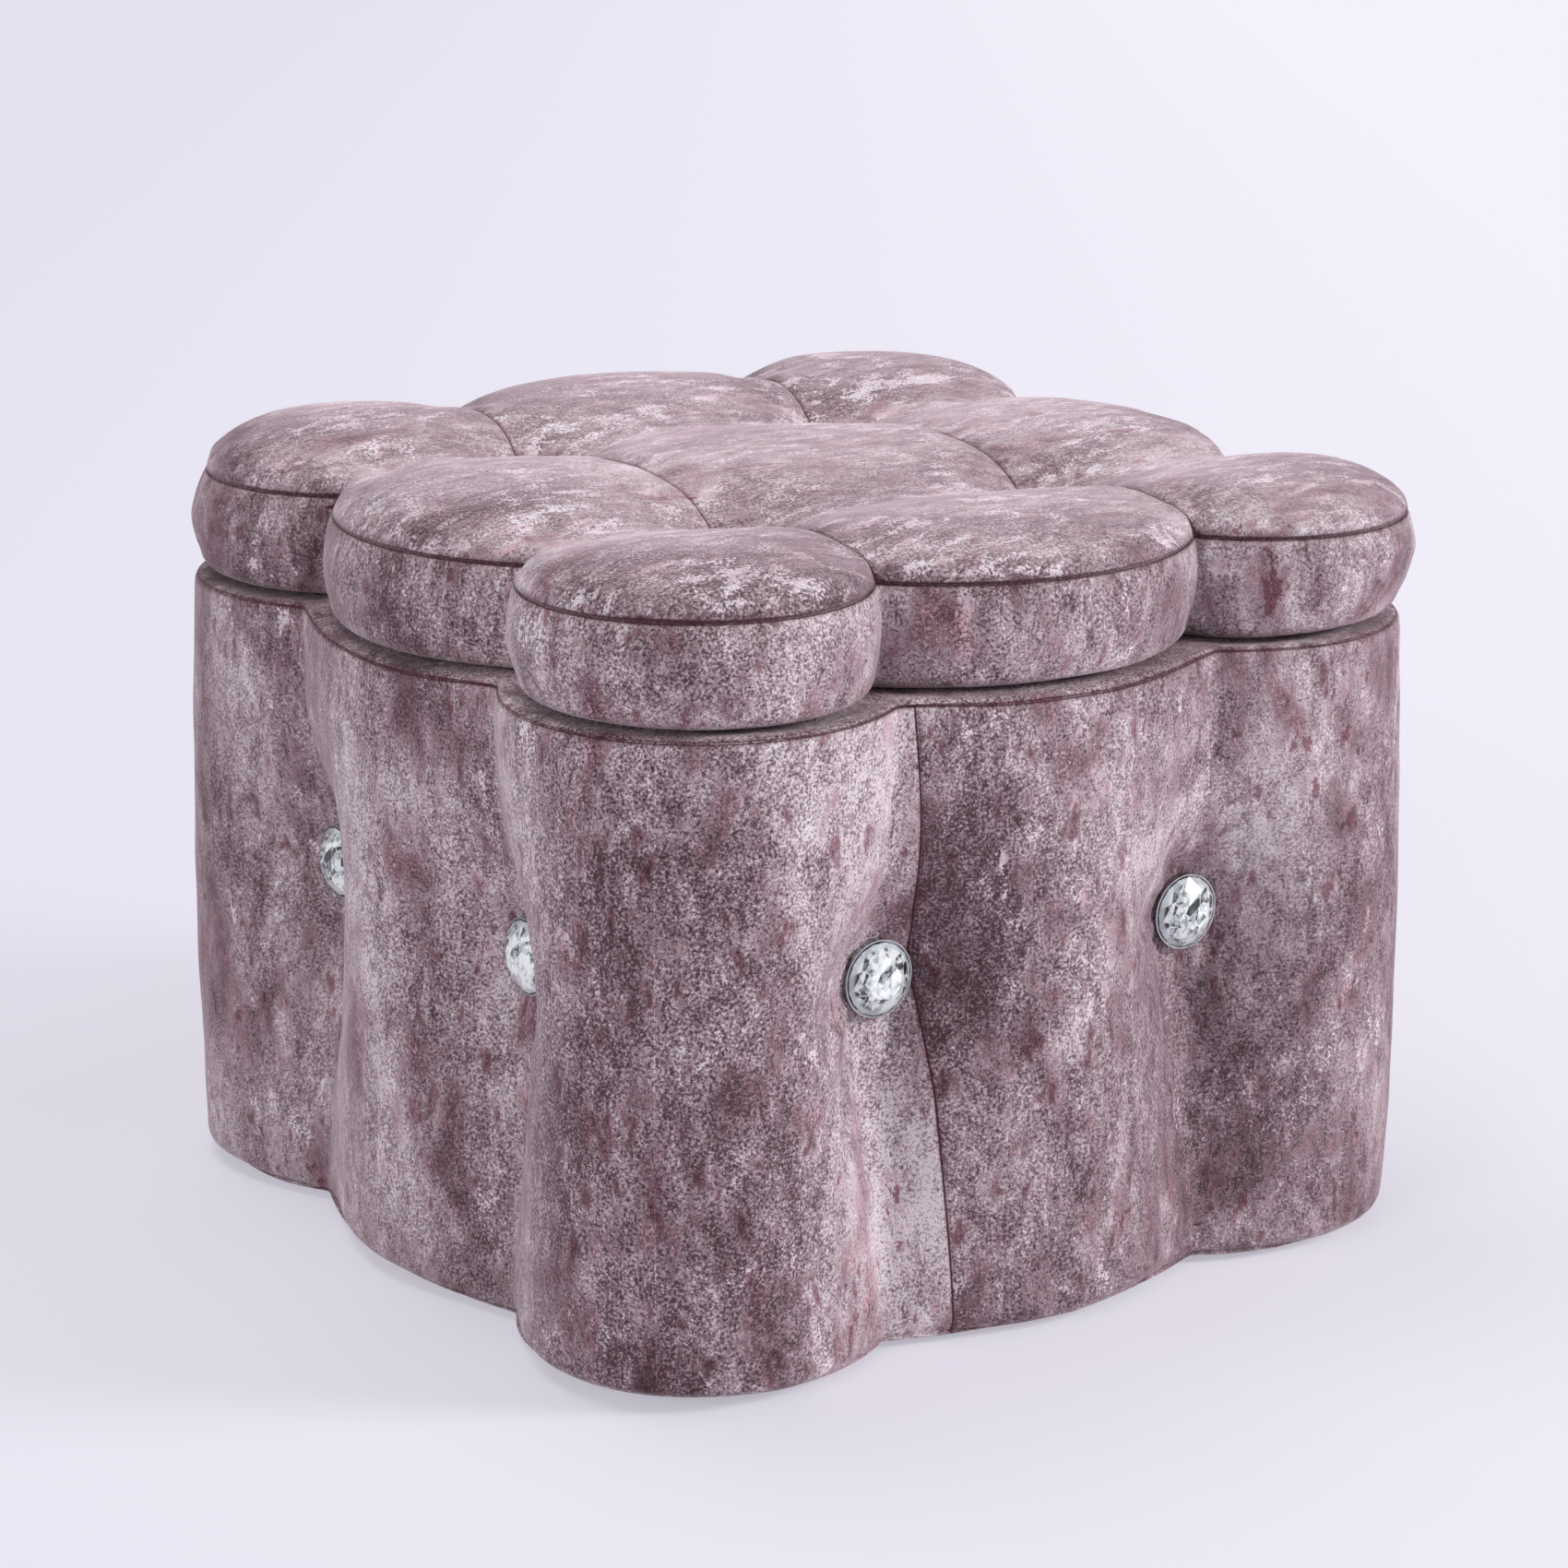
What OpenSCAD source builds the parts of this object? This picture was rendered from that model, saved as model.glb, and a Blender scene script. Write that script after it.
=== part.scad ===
// Square storage pouf in velvet: a padded box with eight lobes round it, pulled in by
// crystal buttons, and a lift-off cushion lid of nine pillows.
// The front faces -Y, the floor is z = 0 and the middle of the box is x = 0, y = 0.

/* [Overall] */
// Width across the widest part of the lid
overall_w = 400; // [376:1:430]
// Height of the box's rim above the floor
body_h = 255; // [230:1:310]
// Height of the lid from its underside to its crown
lid_h = 61; // [57:1:70]
// Distance between the two buttons of one side
button_pitch = 148; // [140:1:156]

/* [Lobes] */
// Depth of the valleys between the lid's lobes
valley_depth = 31; // [26:1:34]
// Depth of the valleys between the box's lobes
side_valley = 15; // [12:1:19]
// How far the corner lobes stop short of the square's corners
corner_draw = 22; // [18:1:26]
// Step in from the lid's widest part to the box's lobes
body_step = 2; // [0:0.5:5]
// Swell of the lobes between the rim and the bottom edge
belly = 2; // [0:0.5:4]
// Radius of the padding's bottom edge
bottom_round = 6; // [4:0.5:12]
// Radius of the padding's edge below the rim seam
rim_round = 3; // [2:0.5:6]

/* [Box] */
// Padding from the crown of a middle lobe to the box wall
side_pad = 48; // [44:1:52]
// Thickness of the side panels
panel_t = 12; // [9:1:15]
// Thickness of the base board
base_t = 12; // [9:1:18]
// Leg of the three-cornered posts, where the washers leave room for it
post_leg = 24; // [16:1:30]

/* [Cloth] */
// Thickness of the velvet with its backing
cover_t = 1.6; // [1:0.1:2]
// Thickness of the lining cloth
lining_t = 0.8; // [0.5:0.1:1.2]
// Depth of the velvet turned over into the box
skirt_h = 34; // [28:1:50]
// Height of bare velvet above the lining
skirt_show = 18; // [10:1:24]
// Width of the velvet turned under the base
turn_under = 25; // [18:1:28]

/* [Lid] */
// Height of the lid's side band from its underside to its seam
band_h = 40; // [36:1:42]
// Bulge of the lid's side band
lid_bulge = 4; // [2:0.5:6]
// Radius of the lid's lower edge
lid_round = 10; // [6:0.5:12]
// Thickness of the lid board
lid_board_t = 9; // [7:1:12]
// Width of the velvet turned under the lid board
lid_turn = 12; // [10:1:18]
// Depth of the soft folds between the pillows of one strip of velvet
fold_depth = 5; // [3:0.5:7]
// Depth of the sewn creases between the strips
crease_depth = 2.5; // [1:0.5:4]
// Depth of the button's seat below the pillows' crown
tuft_depth = 30; // [26:1:32]
// Width of the battens that locate the lid
batten_w = 18; // [14:1:24]
// Height of the battens that locate the lid
batten_h = 16; // [12:1:20]
// Play between the battens and the lining
batten_play = 2.6; // [1.5:0.1:5]

/* [Buttons] */
// Diameter of the crystals
crystal_d = 29; // [26:0.5:31]
// Height of the crystals on their cups
crystal_h = 7; // [5:0.5:9]
// Height of the side buttons above the floor
button_h = 146; // [125:1:165]
// How far the side buttons sit below the valley line
button_sink = 17; // [14:0.5:19]
// Radius of the tufting twine
twine_r = 0.9; // [0.6:0.1:1.2]

/* [Feet] */
// Diameter of the glides
foot_d = 22; // [16:1:28]
// Height of the glides
foot_h = 3; // [2.5:0.5:6]
// Distance from the box's walls in to the middle of a glide
foot_inset = 42; // [40:1:60]
// Length of the nails that hold the glides
nail_len = 13; // [11:0.5:14]

/* [Hidden] */
$fn = 64;

velvet = "#8b747c";
wood = "#c9a877";
foam = "#e8dfc4";
cloth = "#3a3536";
plastic = "#222222";
steel = "#b9b9b4";
glassy = "#dfe8ee";

// Clearances: soft gap between padding and cover, hole play, and the overrun of a cut
soft_gap = 0.3;
board_play = 1.2;
hole_play = 0.3;
press = 0.15;
over = 1;

// Lobes along the loop of the box and of the lid, by number of straight steps
mid_steps = 4;
corner_steps = 8;
cell_steps = 6;

// Heights, from the floor up
turn_z = foot_h + lining_t;
base_z = turn_z + cover_t;
base_top = base_z + base_t;
rim_z = body_h - cover_t;
row_low = turn_z + bottom_round;
row_high = rim_z - rim_round;
lid_z = body_h + soft_gap;
lid_seat = lid_z + cover_t;
board_top = lid_seat + lid_board_t;
seam_z = lid_z + band_h;
crown_z = lid_z + lid_h;
tuft_z = crown_z - tuft_depth;

// Reaches, from the middle out
half_pitch = button_pitch / 2;
body_reach = overall_w / 2 - body_step;
lid_reach = overall_w / 2 - lid_bulge;
board_reach = lid_reach - lid_round - cover_t - board_play;
box_half = body_reach - side_pad;
cavity_half = box_half - panel_t;
button_reach = body_reach - side_valley - button_sink;
batten_reach = cavity_half - cover_t - lining_t - batten_play;
foot_place = box_half - foot_inset;

// Shape of the padding: how fast the pillows rise from the seam, and how far the pull
// of a button and the fold of a crease reach
pillow_run = 50;
pull_w = 26;
pull_up_share = 0.8;
pull_down_share = 0.25;
fold_w = 18;
crease_w = 7;
tuft_w = 17;
// How rounded the bottom of a pull is
pull_point = 4;
// Rows up the lobes, as shares of the run from the button down (-) or up (+)
row_shares = [-0.75, -0.25, 0, 0.25, 0.75];
// Rows round the lid band's lower edge, in degrees, and up its bulge, as shares
edge_angles = [0, 45, 90];
band_shares = [0.5];

// Buttons: cup, stem and washer
cup_wall = 0.6;
cup_h = 3.4;
cup_floor = 0.8;
cup_r = crystal_d / 2 + cup_wall;
pocket_r = cup_r + hole_play;
stem_r = 2.2;
stem_h = 5;
washer_r = 9;
washer_t = 1.4;
// Leg of the posts, which leave the side buttons' washers room
washer_room = 4;
post_side = min(post_leg, cavity_half - half_pitch - washer_r - washer_room);
// Facets of the crystal: shares of its radius and of its height
facet_r_shares = [0.62, 0.97, 0.97, 0.74, 0.5];
facet_h_shares = [0, 0.2, 0.36, 0.78, 1];
facets = 12;

// Fasteners: nails of the glides and screws of the battens
nail_r = 1.4;
nail_head_r = 3.4;
nail_head_h = 1.2;
nail_recess = 0.6;
foot_chamfer = 1;
screw_r = 1.75;
screw_head_r = 3.6;
screw_head_h = 2.2;
screw_bite_share = 0.7;
screw_place_share = 0.7;

// Form of the lobes: depth of the valleys and draw of the corners
lid_form = [valley_depth, corner_draw];
box_form = [side_valley, corner_draw];
function blend(a, b, s) = a + (b - a) * s;

// Circles of the lobes for one reach: centre and radius of the middle lobes, then of
// the corner lobes. All pass through the notches at half_pitch.
function notch_of(reach, form) = reach - form[0];
function middle_r(form) = (half_pitch ^ 2 + form[0] ^ 2) / (2 * form[0]);
function middle_c(reach, form) = reach - middle_r(form);
function corner_c(reach, form) =
    let (d = reach - form[1], n = notch_of(reach, form))
    (2 * d ^ 2 - half_pitch ^ 2 - n ^ 2) / (2 * (2 * d - half_pitch - n));
function corner_r(reach, form) = sqrt(2) * (reach - form[1] - corner_c(reach, form));

// Points of a quarter of the loop: the right-hand lobe from its lower notch, then the
// corner lobe, without the corner lobe's last point
function middle_pt(reach, form, s) =
    let (r = middle_r(form), a = asin(half_pitch / r))
    [middle_c(reach, form) + r * cos(a * s), r * sin(a * s)];
function corner_pt(reach, form, s) =
    let (c = corner_c(reach, form), n = notch_of(reach, form), r = corner_r(reach, form),
         a = 45 + (45 - atan2(half_pitch - c, n - c)) * s)
    [c + r * cos(a), c + r * sin(a)];
function quarter(reach, form) = concat(
    [for (i = [0 : mid_steps - 1]) middle_pt(reach, form, 2 * i / mid_steps - 1)],
    [for (i = [0 : corner_steps - 1]) corner_pt(reach, form, 2 * i / corner_steps - 1)]);
function turned(p, k) = k == 0 ? p : turned([-p.y, p.x], k - 1);
function lobe_loop(reach, form) = [for (k = [0 : 3], p = quarter(reach, form)) turned(p, k)];

// A point of the lobes drawn in towards the nearest button's seat
function pulled(p, z, seat) =
    let (x = abs(p.x), y = abs(p.y), side = min(x, y), out = max(x, y), up = z - button_h,
         far = norm([side - half_pitch, up * (up > 0 ? pull_up_share : pull_down_share), pull_point]),
         w = exp((pull_point - far) / pull_w) * min(1, (out - side) / pull_w),
         q = out - w * max(0, out - seat))
    y > x ? [p.x, sign(p.y) * q, z] : [sign(p.x) * q, p.y, z];

// Outer line of the padding from the bottom edge to the rim seam: [step in, height]
function belly_at(z) = belly * (2 * (z - row_low) / (row_high - row_low) - 1) ^ 2;
function row_z(s) = s < 0 ? button_h + s * (button_h - row_low) : button_h + s * (row_high - button_h);
side_line = concat(
    [for (a = edge_angles) [belly + bottom_round * (1 - sin(a)), turn_z + bottom_round * (1 - cos(a))]],
    [for (s = row_shares) [belly_at(row_z(s)), row_z(s)]],
    [[belly, row_high], [belly + rim_round, rim_z]]);

// One row of the padding's skin, a depth below the outer face
function skin_row(line, depth) = [
    for (p = lobe_loop(body_reach - line[0] - depth, box_form))
        pulled(p, line[1], button_reach - depth)];
function skin_rows(depth) = [for (line = side_line) skin_row(line, depth)];

// Square row on the rays of the lobes' bottom edge
function square_row(half, z) = [
    for (p = lobe_loop(body_reach, box_form))
        let (k = half / max(abs(p.x), abs(p.y))) [p.x * k, p.y * k, z]];
function lifted(row, dz) = [for (p = row) [p.x, p.y, p.z + dz]];
function flat_list(rows) = [for (row = rows, p = row) p];

// Solid between closed rows of points, the last row joined to the first. The first half of
// the rows is the outer face and the second half the inner one, whose facets lie alike.
module ring_solid(rows) {
    n = len(rows);
    m = len(rows[0]);
    polyhedron(points = flat_list(rows), faces = [
        for (i = [0 : n - 1], j = [0 : m - 1])
            let (a = i * m + j, b = i * m + (j + 1) % m,
                 c = (i + 1) % n * m + j, d = (i + 1) % n * m + (j + 1) % m)
                each i < n / 2 ? [[a, c, d], [a, d, b]] : [[a, c, b], [b, c, d]]]);
}

// Solid inside closed rows of points round the middle, from the bottom row to the top one
module capped_solid(rows) {
    n = len(rows);
    m = len(rows[0]);
    ends = [for (i = [0, n - 1]) [0, 0, rows[i][0].z]];
    polyhedron(points = concat(flat_list(rows), ends), faces = concat(
        [for (i = [0 : n - 2], j = [0 : m - 1])
            let (a = i * m + j, b = i * m + (j + 1) % m,
                 c = (i + 1) * m + j, d = (i + 1) * m + (j + 1) % m)
                each [[a, c, d], [a, d, b]]],
        [for (j = [0 : m - 1]) [n * m, j, (j + 1) % m]],
        [for (j = [0 : m - 1]) [n * m + 1, (n - 1) * m + (j + 1) % m, (n - 1) * m + j]]));
}

// Solid swept through closed sections, with flat ends
module swept_solid(sections) {
    n = len(sections);
    m = len(sections[0]);
    polyhedron(points = flat_list(sections), faces = concat(
        [[for (j = [0 : m - 1]) j]],
        [[for (j = [m - 1 : -1 : 0]) (n - 1) * m + j]],
        [for (i = [0 : n - 2], j = [0 : m - 1])
            let (a = i * m + j, b = i * m + (j + 1) % m,
                 c = (i + 1) * m + j, d = (i + 1) * m + (j + 1) % m)
                each [[a, c, d], [a, d, b]]]));
}

// Flat outline of the lobes, as true arcs
module lobes(reach, form) {
    c = corner_c(reach, form);
    square(2 * half_pitch, center = true);
    for (k = [0 : 3])
        rotate(90 * k) {
            translate([middle_c(reach, form), 0]) circle(middle_r(form));
            translate([c, c]) circle(corner_r(reach, form));
        }
}

// Inside of the box, a depth in from its panels and posts
module cavity(depth) {
    i = cavity_half - depth;
    s = 2 * cavity_half - post_side - sqrt(2) * depth - i;
    polygon([[i, -s], [i, s], [s, i], [-s, i], [-i, s], [-i, -s], [-s, -i], [s, -i]]);
}

module slab(z, t) {
    translate([0, 0, z]) linear_extrude(t) children();
}

// Places of the side buttons: +Z of a child points out of the side
module side_buttons(turn) {
    for (s = [-1, 1])
        rotate(turn) translate([s * half_pitch, -button_reach, button_h]) rotate([90, 0, 0]) children();
}

module all_side_buttons() {
    for (turn = [0, 90, 180, 270]) side_buttons(turn) children();
}

module lid_buttons() {
    for (x = [-1, 1], y = [-1, 1])
        translate([x * half_pitch, y * half_pitch, tuft_z]) children();
}

// Button pieces, standing on their seat
module crystal() {
    r = crystal_d / 2;
    color(glassy)
        translate([0, 0, cup_floor])
            rotate_extrude($fn = facets)
                polygon(concat([[0, 0]],
                    [for (i = [0 : len(facet_r_shares) - 1])
                        [r * facet_r_shares[i], crystal_h * facet_h_shares[i]]],
                    [[0, crystal_h]]));
}

module cup() {
    color(steel) {
        difference() {
            cylinder(r = cup_r, h = cup_h);
            translate([0, 0, cup_floor]) cylinder(r = cup_r - cup_wall, h = cup_h);
        }
        translate([0, 0, -stem_h]) cylinder(r = stem_r, h = stem_h + cup_floor / 2);
    }
}

// Twine from the stem down to a depth below the seat
module twine(depth) {
    color(foam) translate([0, 0, -depth]) cylinder(r = twine_r, h = depth - stem_h);
}

// Washer whose upper face lies at a depth below the seat
module washer(depth) {
    color(plastic)
        translate([0, 0, -depth - washer_t])
            difference() {
                cylinder(r = washer_r, h = washer_t);
                translate([0, 0, -over]) cylinder(r = twine_r + hole_play, h = washer_t + 2 * over);
            }
}

// Room round a button, and the well that the cloth or the foam leaves round that room,
// a depth wider and deeper
module button_room(tall) {
    cylinder(r = pocket_r, h = tall);
    translate([0, 0, -stem_h - over]) cylinder(r = stem_r + hole_play, h = stem_h + 2 * over);
}

module button_well(tall, depth) {
    translate([0, 0, -depth]) cylinder(r = pocket_r + depth, h = tall + depth);
}

module twine_hole(depth) {
    translate([0, 0, -depth - over]) cylinder(r = twine_r + hole_play, h = depth + 2 * over);
}

side_depth = button_reach - cavity_half;
lid_depth = tuft_z - lid_seat - washer_t;

// Base and box
module base_board() {
    color(wood)
        difference() {
            slab(base_z, base_t) square(2 * box_half, center = true);
            foot_places() cylinder(r = nail_r - press, h = nail_recess + nail_head_h + nail_len + press);
        }
}

module foot_places() {
    for (x = [-1, 1], y = [-1, 1]) translate([x * foot_place, y * foot_place, 0]) children();
}

module panel(turn, length) {
    color(wood)
        difference() {
            rotate(turn)
                translate([-length / 2, -box_half, base_top]) cube([length, panel_t, rim_z - base_top]);
            side_buttons(turn) twine_hole(side_depth);
        }
}

module front_panel() { panel(0, 2 * box_half); }
module back_panel() { panel(180, 2 * box_half); }
module left_panel() { panel(270, 2 * cavity_half); }
module right_panel() { panel(90, 2 * cavity_half); }

module corner_posts() {
    color(wood)
        for (k = [0 : 3])
            rotate(90 * k)
                translate([-cavity_half, -cavity_half, base_top])
                    linear_extrude(rim_z - base_top) polygon([[0, 0], [post_side, 0], [0, post_side]]);
}

// Foam of one side, mitred at the corners
module side_foam(turn) {
    half_turn = corner_steps / 2;
    per_side = mid_steps + corner_steps;
    rows = skin_rows(cover_t + soft_gap);
    total = 4 * per_side;
    first = total - half_turn;
    face = square_row(box_half, base_z);
    color(foam)
        difference() {
            rotate(turn + 270)
                swept_solid([
                    for (j = [0 : per_side])
                        let (k = (first + j) % total) concat(
                            [[face[k].x, face[k].y, base_z]],
                            [for (row = rows) [row[k].x, row[k].y, min(rim_z, max(base_z, row[k].z))]],
                            [[face[k].x, face[k].y, rim_z]])]);
            side_buttons(turn) {
                button_well(valley_depth, cover_t + soft_gap);
                button_room(valley_depth);
                twine_hole(side_pad);
            }
        }
}

module foam_front() { side_foam(0); }
module foam_back() { side_foam(180); }
module foam_left() { side_foam(270); }
module foam_right() { side_foam(90); }

module side_cover() {
    edge = square_row(box_half - turn_under, turn_z);
    color(velvet)
        difference() {
            union() {
                ring_solid(concat(
                    [edge], skin_rows(0),
                    [for (i = [len(side_line) - 1 : -1 : 1]) skin_row(side_line[i], cover_t)],
                    [lifted(skin_row(side_line[0], cover_t), cover_t)],
                    [lifted(edge, cover_t)]));
                intersection() {
                    capped_solid(skin_rows(cover_t / 2));
                    all_side_buttons() button_well(valley_depth, cover_t);
                }
            }
            all_side_buttons() button_room(valley_depth);
        }
}

module rim_cover() {
    color(velvet) {
        difference() {
            slab(rim_z, cover_t) lobes(body_reach - belly - rim_round, box_form);
            slab(rim_z - over, cover_t + 2 * over) cavity(cover_t);
        }
        difference() {
            slab(rim_z - skirt_h, skirt_h) cavity(0);
            slab(rim_z - skirt_h - over, skirt_h + 2 * over) cavity(cover_t);
        }
    }
}

module lining_sides() {
    color(cloth)
        difference() {
            slab(base_top, rim_z - skirt_show - base_top) cavity(cover_t);
            slab(base_top - over, rim_z + 2 * over) cavity(cover_t + lining_t);
        }
}

module lining_floor() {
    color(cloth) slab(base_top, lining_t) cavity(cover_t + lining_t);
}

module dust_cover() {
    color(cloth)
        difference() {
            slab(foot_h, lining_t) square(2 * box_half - turn_under, center = true);
            foot_places() cylinder(r = nail_r + hole_play, h = foot_h + lining_t + over);
        }
}

module feet() {
    r = foot_d / 2;
    color(plastic)
        foot_places()
            difference() {
                rotate_extrude()
                    polygon([[0, 0], [r - foot_chamfer, 0], [r, foot_chamfer], [r, foot_h], [0, foot_h]]);
                translate([0, 0, -over]) cylinder(r = nail_r + hole_play, h = foot_h + 2 * over);
                translate([0, 0, -over])
                    cylinder(r = nail_head_r + hole_play, h = nail_recess + nail_head_h + over);
            }
}

module foot_nails() {
    color(steel)
        foot_places()
            translate([0, 0, nail_recess]) {
                cylinder(r = nail_head_r, h = nail_head_h);
                cylinder(r = nail_r, h = nail_head_h + nail_len);
            }
}

// Side buttons
module crystals_front() { side_buttons(0) crystal(); }
module crystals_back() { side_buttons(180) crystal(); }
module crystals_left() { side_buttons(270) crystal(); }
module crystals_right() { side_buttons(90) crystal(); }

module cups_front() { side_buttons(0) cup(); }
module cups_back() { side_buttons(180) cup(); }
module cups_left() { side_buttons(270) cup(); }
module cups_right() { side_buttons(90) cup(); }

module twines_front() { side_buttons(0) twine(side_depth + washer_t); }
module twines_back() { side_buttons(180) twine(side_depth + washer_t); }
module twines_left() { side_buttons(270) twine(side_depth + washer_t); }
module twines_right() { side_buttons(90) twine(side_depth + washer_t); }

module washers_front() { side_buttons(0) washer(side_depth); }
module washers_back() { side_buttons(180) washer(side_depth); }
module washers_left() { side_buttons(270) washer(side_depth); }
module washers_right() { side_buttons(90) washer(side_depth); }

// Lid: a patch of the plan for a place counted in pillows from the middle, where 0.5 is
// a crease and 1.5 is the seam. First the seam's own points, then straight creases.
function edge_cell(reach, s, t) =
    blend([half_pitch, half_pitch * s], middle_pt(reach, lid_form, s), t);
function corner_cell(reach, s, t) =
    let (n = notch_of(reach, lid_form), h = half_pitch, d = reach - corner_draw,
         low = [blend(h, n, s), h], left = [h, blend(h, n, t)],
         right = corner_pt(reach, lid_form, t - 1), top = corner_pt(reach, lid_form, 1 - s))
    low * (1 - t) + top * t + left * (1 - s) + right * s
        - ([h, h] * (1 - s) * (1 - t) + [n, h] * s * (1 - t) + [h, n] * (1 - s) * t + [d, d] * s * t);
function plan_pt(reach, u, v) =
    let (a = abs(u), b = abs(v), sx = u < 0 ? -1 : 1, sy = v < 0 ? -1 : 1)
    a <= 0.5 && b <= 0.5 ? [u, v] * button_pitch :
    b <= 0.5 ? let (p = edge_cell(reach, 2 * v, a - 0.5)) [sx * p.x, p.y] :
    a <= 0.5 ? let (p = edge_cell(reach, 2 * u, b - 0.5)) [p.y, sy * p.x] :
    let (p = corner_cell(reach, a - 0.5, b - 0.5)) [sx * p.x, sy * p.y];

// Distance from a place of the lid's plan to its outline
function edge_gap(p, reach) =
    let (x = max(abs(p.x), abs(p.y)), y = min(abs(p.x), abs(p.y)), c = corner_c(reach, lid_form))
    max(0, notch_of(reach, lid_form) - x,
        middle_r(lid_form) - norm([x - middle_c(reach, lid_form), y]),
        corner_r(reach, lid_form) - norm([x - c, y - c]));

// Height of the pillows at a place of the plan
function pillow_z(p, reach) =
    let (edge = edge_gap(p, reach),
         rise = sqrt(1 - (1 - min(1, edge / pillow_run)) ^ 2),
         cx = abs(abs(p.x) - half_pitch), cy = abs(abs(p.y) - half_pitch),
         dip = crease_depth * exp(-cx / crease_w) + fold_depth * exp(-((cy / fold_w) ^ 2)),
         tuft = exp((pull_point - norm([cx, cy, pull_point])) / tuft_w))
    seam_z + (crown_z - seam_z) * rise
        - (dip + (tuft_depth - crease_depth - fold_depth) * tuft) * min(1, edge / fold_w);

grid_n = 3 * cell_steps;
function share_at(i) = i / cell_steps - 1.5;
function pillow_grid(reach, drop) = [
    for (i = [0 : grid_n]) [
        for (j = [0 : grid_n])
            let (u = share_at(i), v = share_at(j), p = plan_pt(reach, u, v))
                [p.x, p.y, pillow_z(p, reach) - drop]]];

// Numbers of the grid's outer points, once round
border = concat(
    [for (i = [0 : grid_n - 1]) [i, 0]], [for (j = [0 : grid_n - 1]) [grid_n, j]],
    [for (i = [grid_n : -1 : 1]) [i, grid_n]], [for (j = [grid_n : -1 : 1]) [0, j]]);
function lid_row(reach, z) = [
    for (b = border) let (p = plan_pt(reach, share_at(b[0]), share_at(b[1]))) [p.x, p.y, z]];
function number(b) = b[0] * (grid_n + 1) + b[1];
grid_faces = [
    for (i = [0 : grid_n - 1], j = [0 : grid_n - 1])
        let (a = number([i, j]), b = number([i + 1, j]), c = number([i + 1, j + 1]), d = number([i, j + 1]))
            each [[a, c, b], [a, d, c]]];

// Cushion shape from the pillows down through rows of points to a flat bottom
module pillow_solid(reach, depth, rows) {
    count = (grid_n + 1) ^ 2;
    rim = len(border);
    last = count + (len(rows) - 1) * rim;
    bottom = [0, 0, rows[len(rows) - 1][0].z];
    polyhedron(
        points = concat(flat_list(pillow_grid(reach, depth)), flat_list(rows), [bottom]),
        faces = concat(grid_faces,
            [for (k = [0 : rim - 1])
                let (n = (k + 1) % rim, a = number(border[k]), b = number(border[n]))
                    each [[a, b, count + n], [a, count + n, count + k]]],
            [for (i = [0 : len(rows) - 2], k = [0 : rim - 1])
                let (n = (k + 1) % rim, s = count + i * rim, t = s + rim)
                    each [[s + k, s + n, t + n], [s + k, t + n, t + k]]],
            [for (k = [0 : rim - 1]) [last + k, last + (k + 1) % rim, last + rim]]));
}

module lid_top_cover() {
    count = (grid_n + 1) ^ 2;
    rim = len(border);
    color(velvet)
        difference() {
            union() {
                polyhedron(
                    points = concat(flat_list(pillow_grid(lid_reach, 0)),
                        flat_list(pillow_grid(lid_reach, cover_t))),
                    faces = concat(grid_faces,
                        [for (f = grid_faces) [f[2] + count, f[1] + count, f[0] + count]],
                        [for (k = [0 : rim - 1])
                            let (a = number(border[k]), b = number(border[(k + 1) % rim]))
                                each [[a, b, b + count], [a, b + count, a + count]]]));
                intersection() {
                    pillow_solid(lid_reach, cover_t / 2, [lid_row(lid_reach, board_top)]);
                    lid_buttons() button_well(tuft_depth, cover_t);
                }
            }
            lid_buttons() button_room(tuft_depth);
        }
}

// Outer line of the lid's band from its turned-under edge up to the seam: [step in, height]
band_low = lid_z + lid_round;
function band_at(s) = [-lid_bulge * sin(180 * s), blend(band_low, seam_z - cover_t, s)];
band_line = concat(
    [for (a = edge_angles) [lid_round * (1 - sin(a)), lid_z + lid_round * (1 - cos(a))]],
    [for (s = band_shares) band_at(s)],
    [[0, seam_z - cover_t]]);

module lid_side_band() {
    color(velvet)
        ring_solid(concat(
            [lid_row(lid_reach - lid_round - lid_turn, lid_z)],
            [for (l = band_line) lid_row(lid_reach - l[0], l[1])],
            [for (i = [len(band_line) - 1 : -1 : 1])
                lid_row(lid_reach - band_line[i][0] - cover_t, band_line[i][1])],
            [lid_row(lid_reach - lid_round - cover_t, lid_seat)],
            [lid_row(lid_reach - lid_round - lid_turn, lid_seat)]));
}

module lid_foam() {
    depth = cover_t + soft_gap;
    inner = lid_reach - depth;
    swells = [for (i = [len(band_shares) - 1 : -1 : 0]) band_at(band_shares[i])];
    color(foam)
        difference() {
            pillow_solid(inner, depth, [
                for (l = concat(swells, [[0, board_top]])) lid_row(inner - l[0], l[1])]);
            lid_buttons() {
                button_well(tuft_depth, depth);
                button_room(tuft_depth);
                twine_hole(tuft_depth);
            }
        }
}

module lid_board() {
    color(wood)
        difference() {
            slab(lid_seat, lid_board_t) lobes(board_reach, lid_form);
            lid_buttons() {
                twine_hole(tuft_depth + lid_board_t);
                translate([0, 0, -lid_depth - washer_t - over])
                    cylinder(r = washer_r + hole_play, h = washer_t + over);
            }
            screw_places() cylinder(r = screw_r - press, h = screw_up + press);
        }
}

module lid_lining() {
    color(cloth)
        difference() {
            slab(lid_seat - lining_t, lining_t)
                polygon([for (p = lid_row(lid_reach - lid_round - lid_turn - soft_gap, 0)) [p.x, p.y]]);
            screw_places() cylinder(r = screw_r + hole_play, h = screw_up + over);
        }
}

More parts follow.
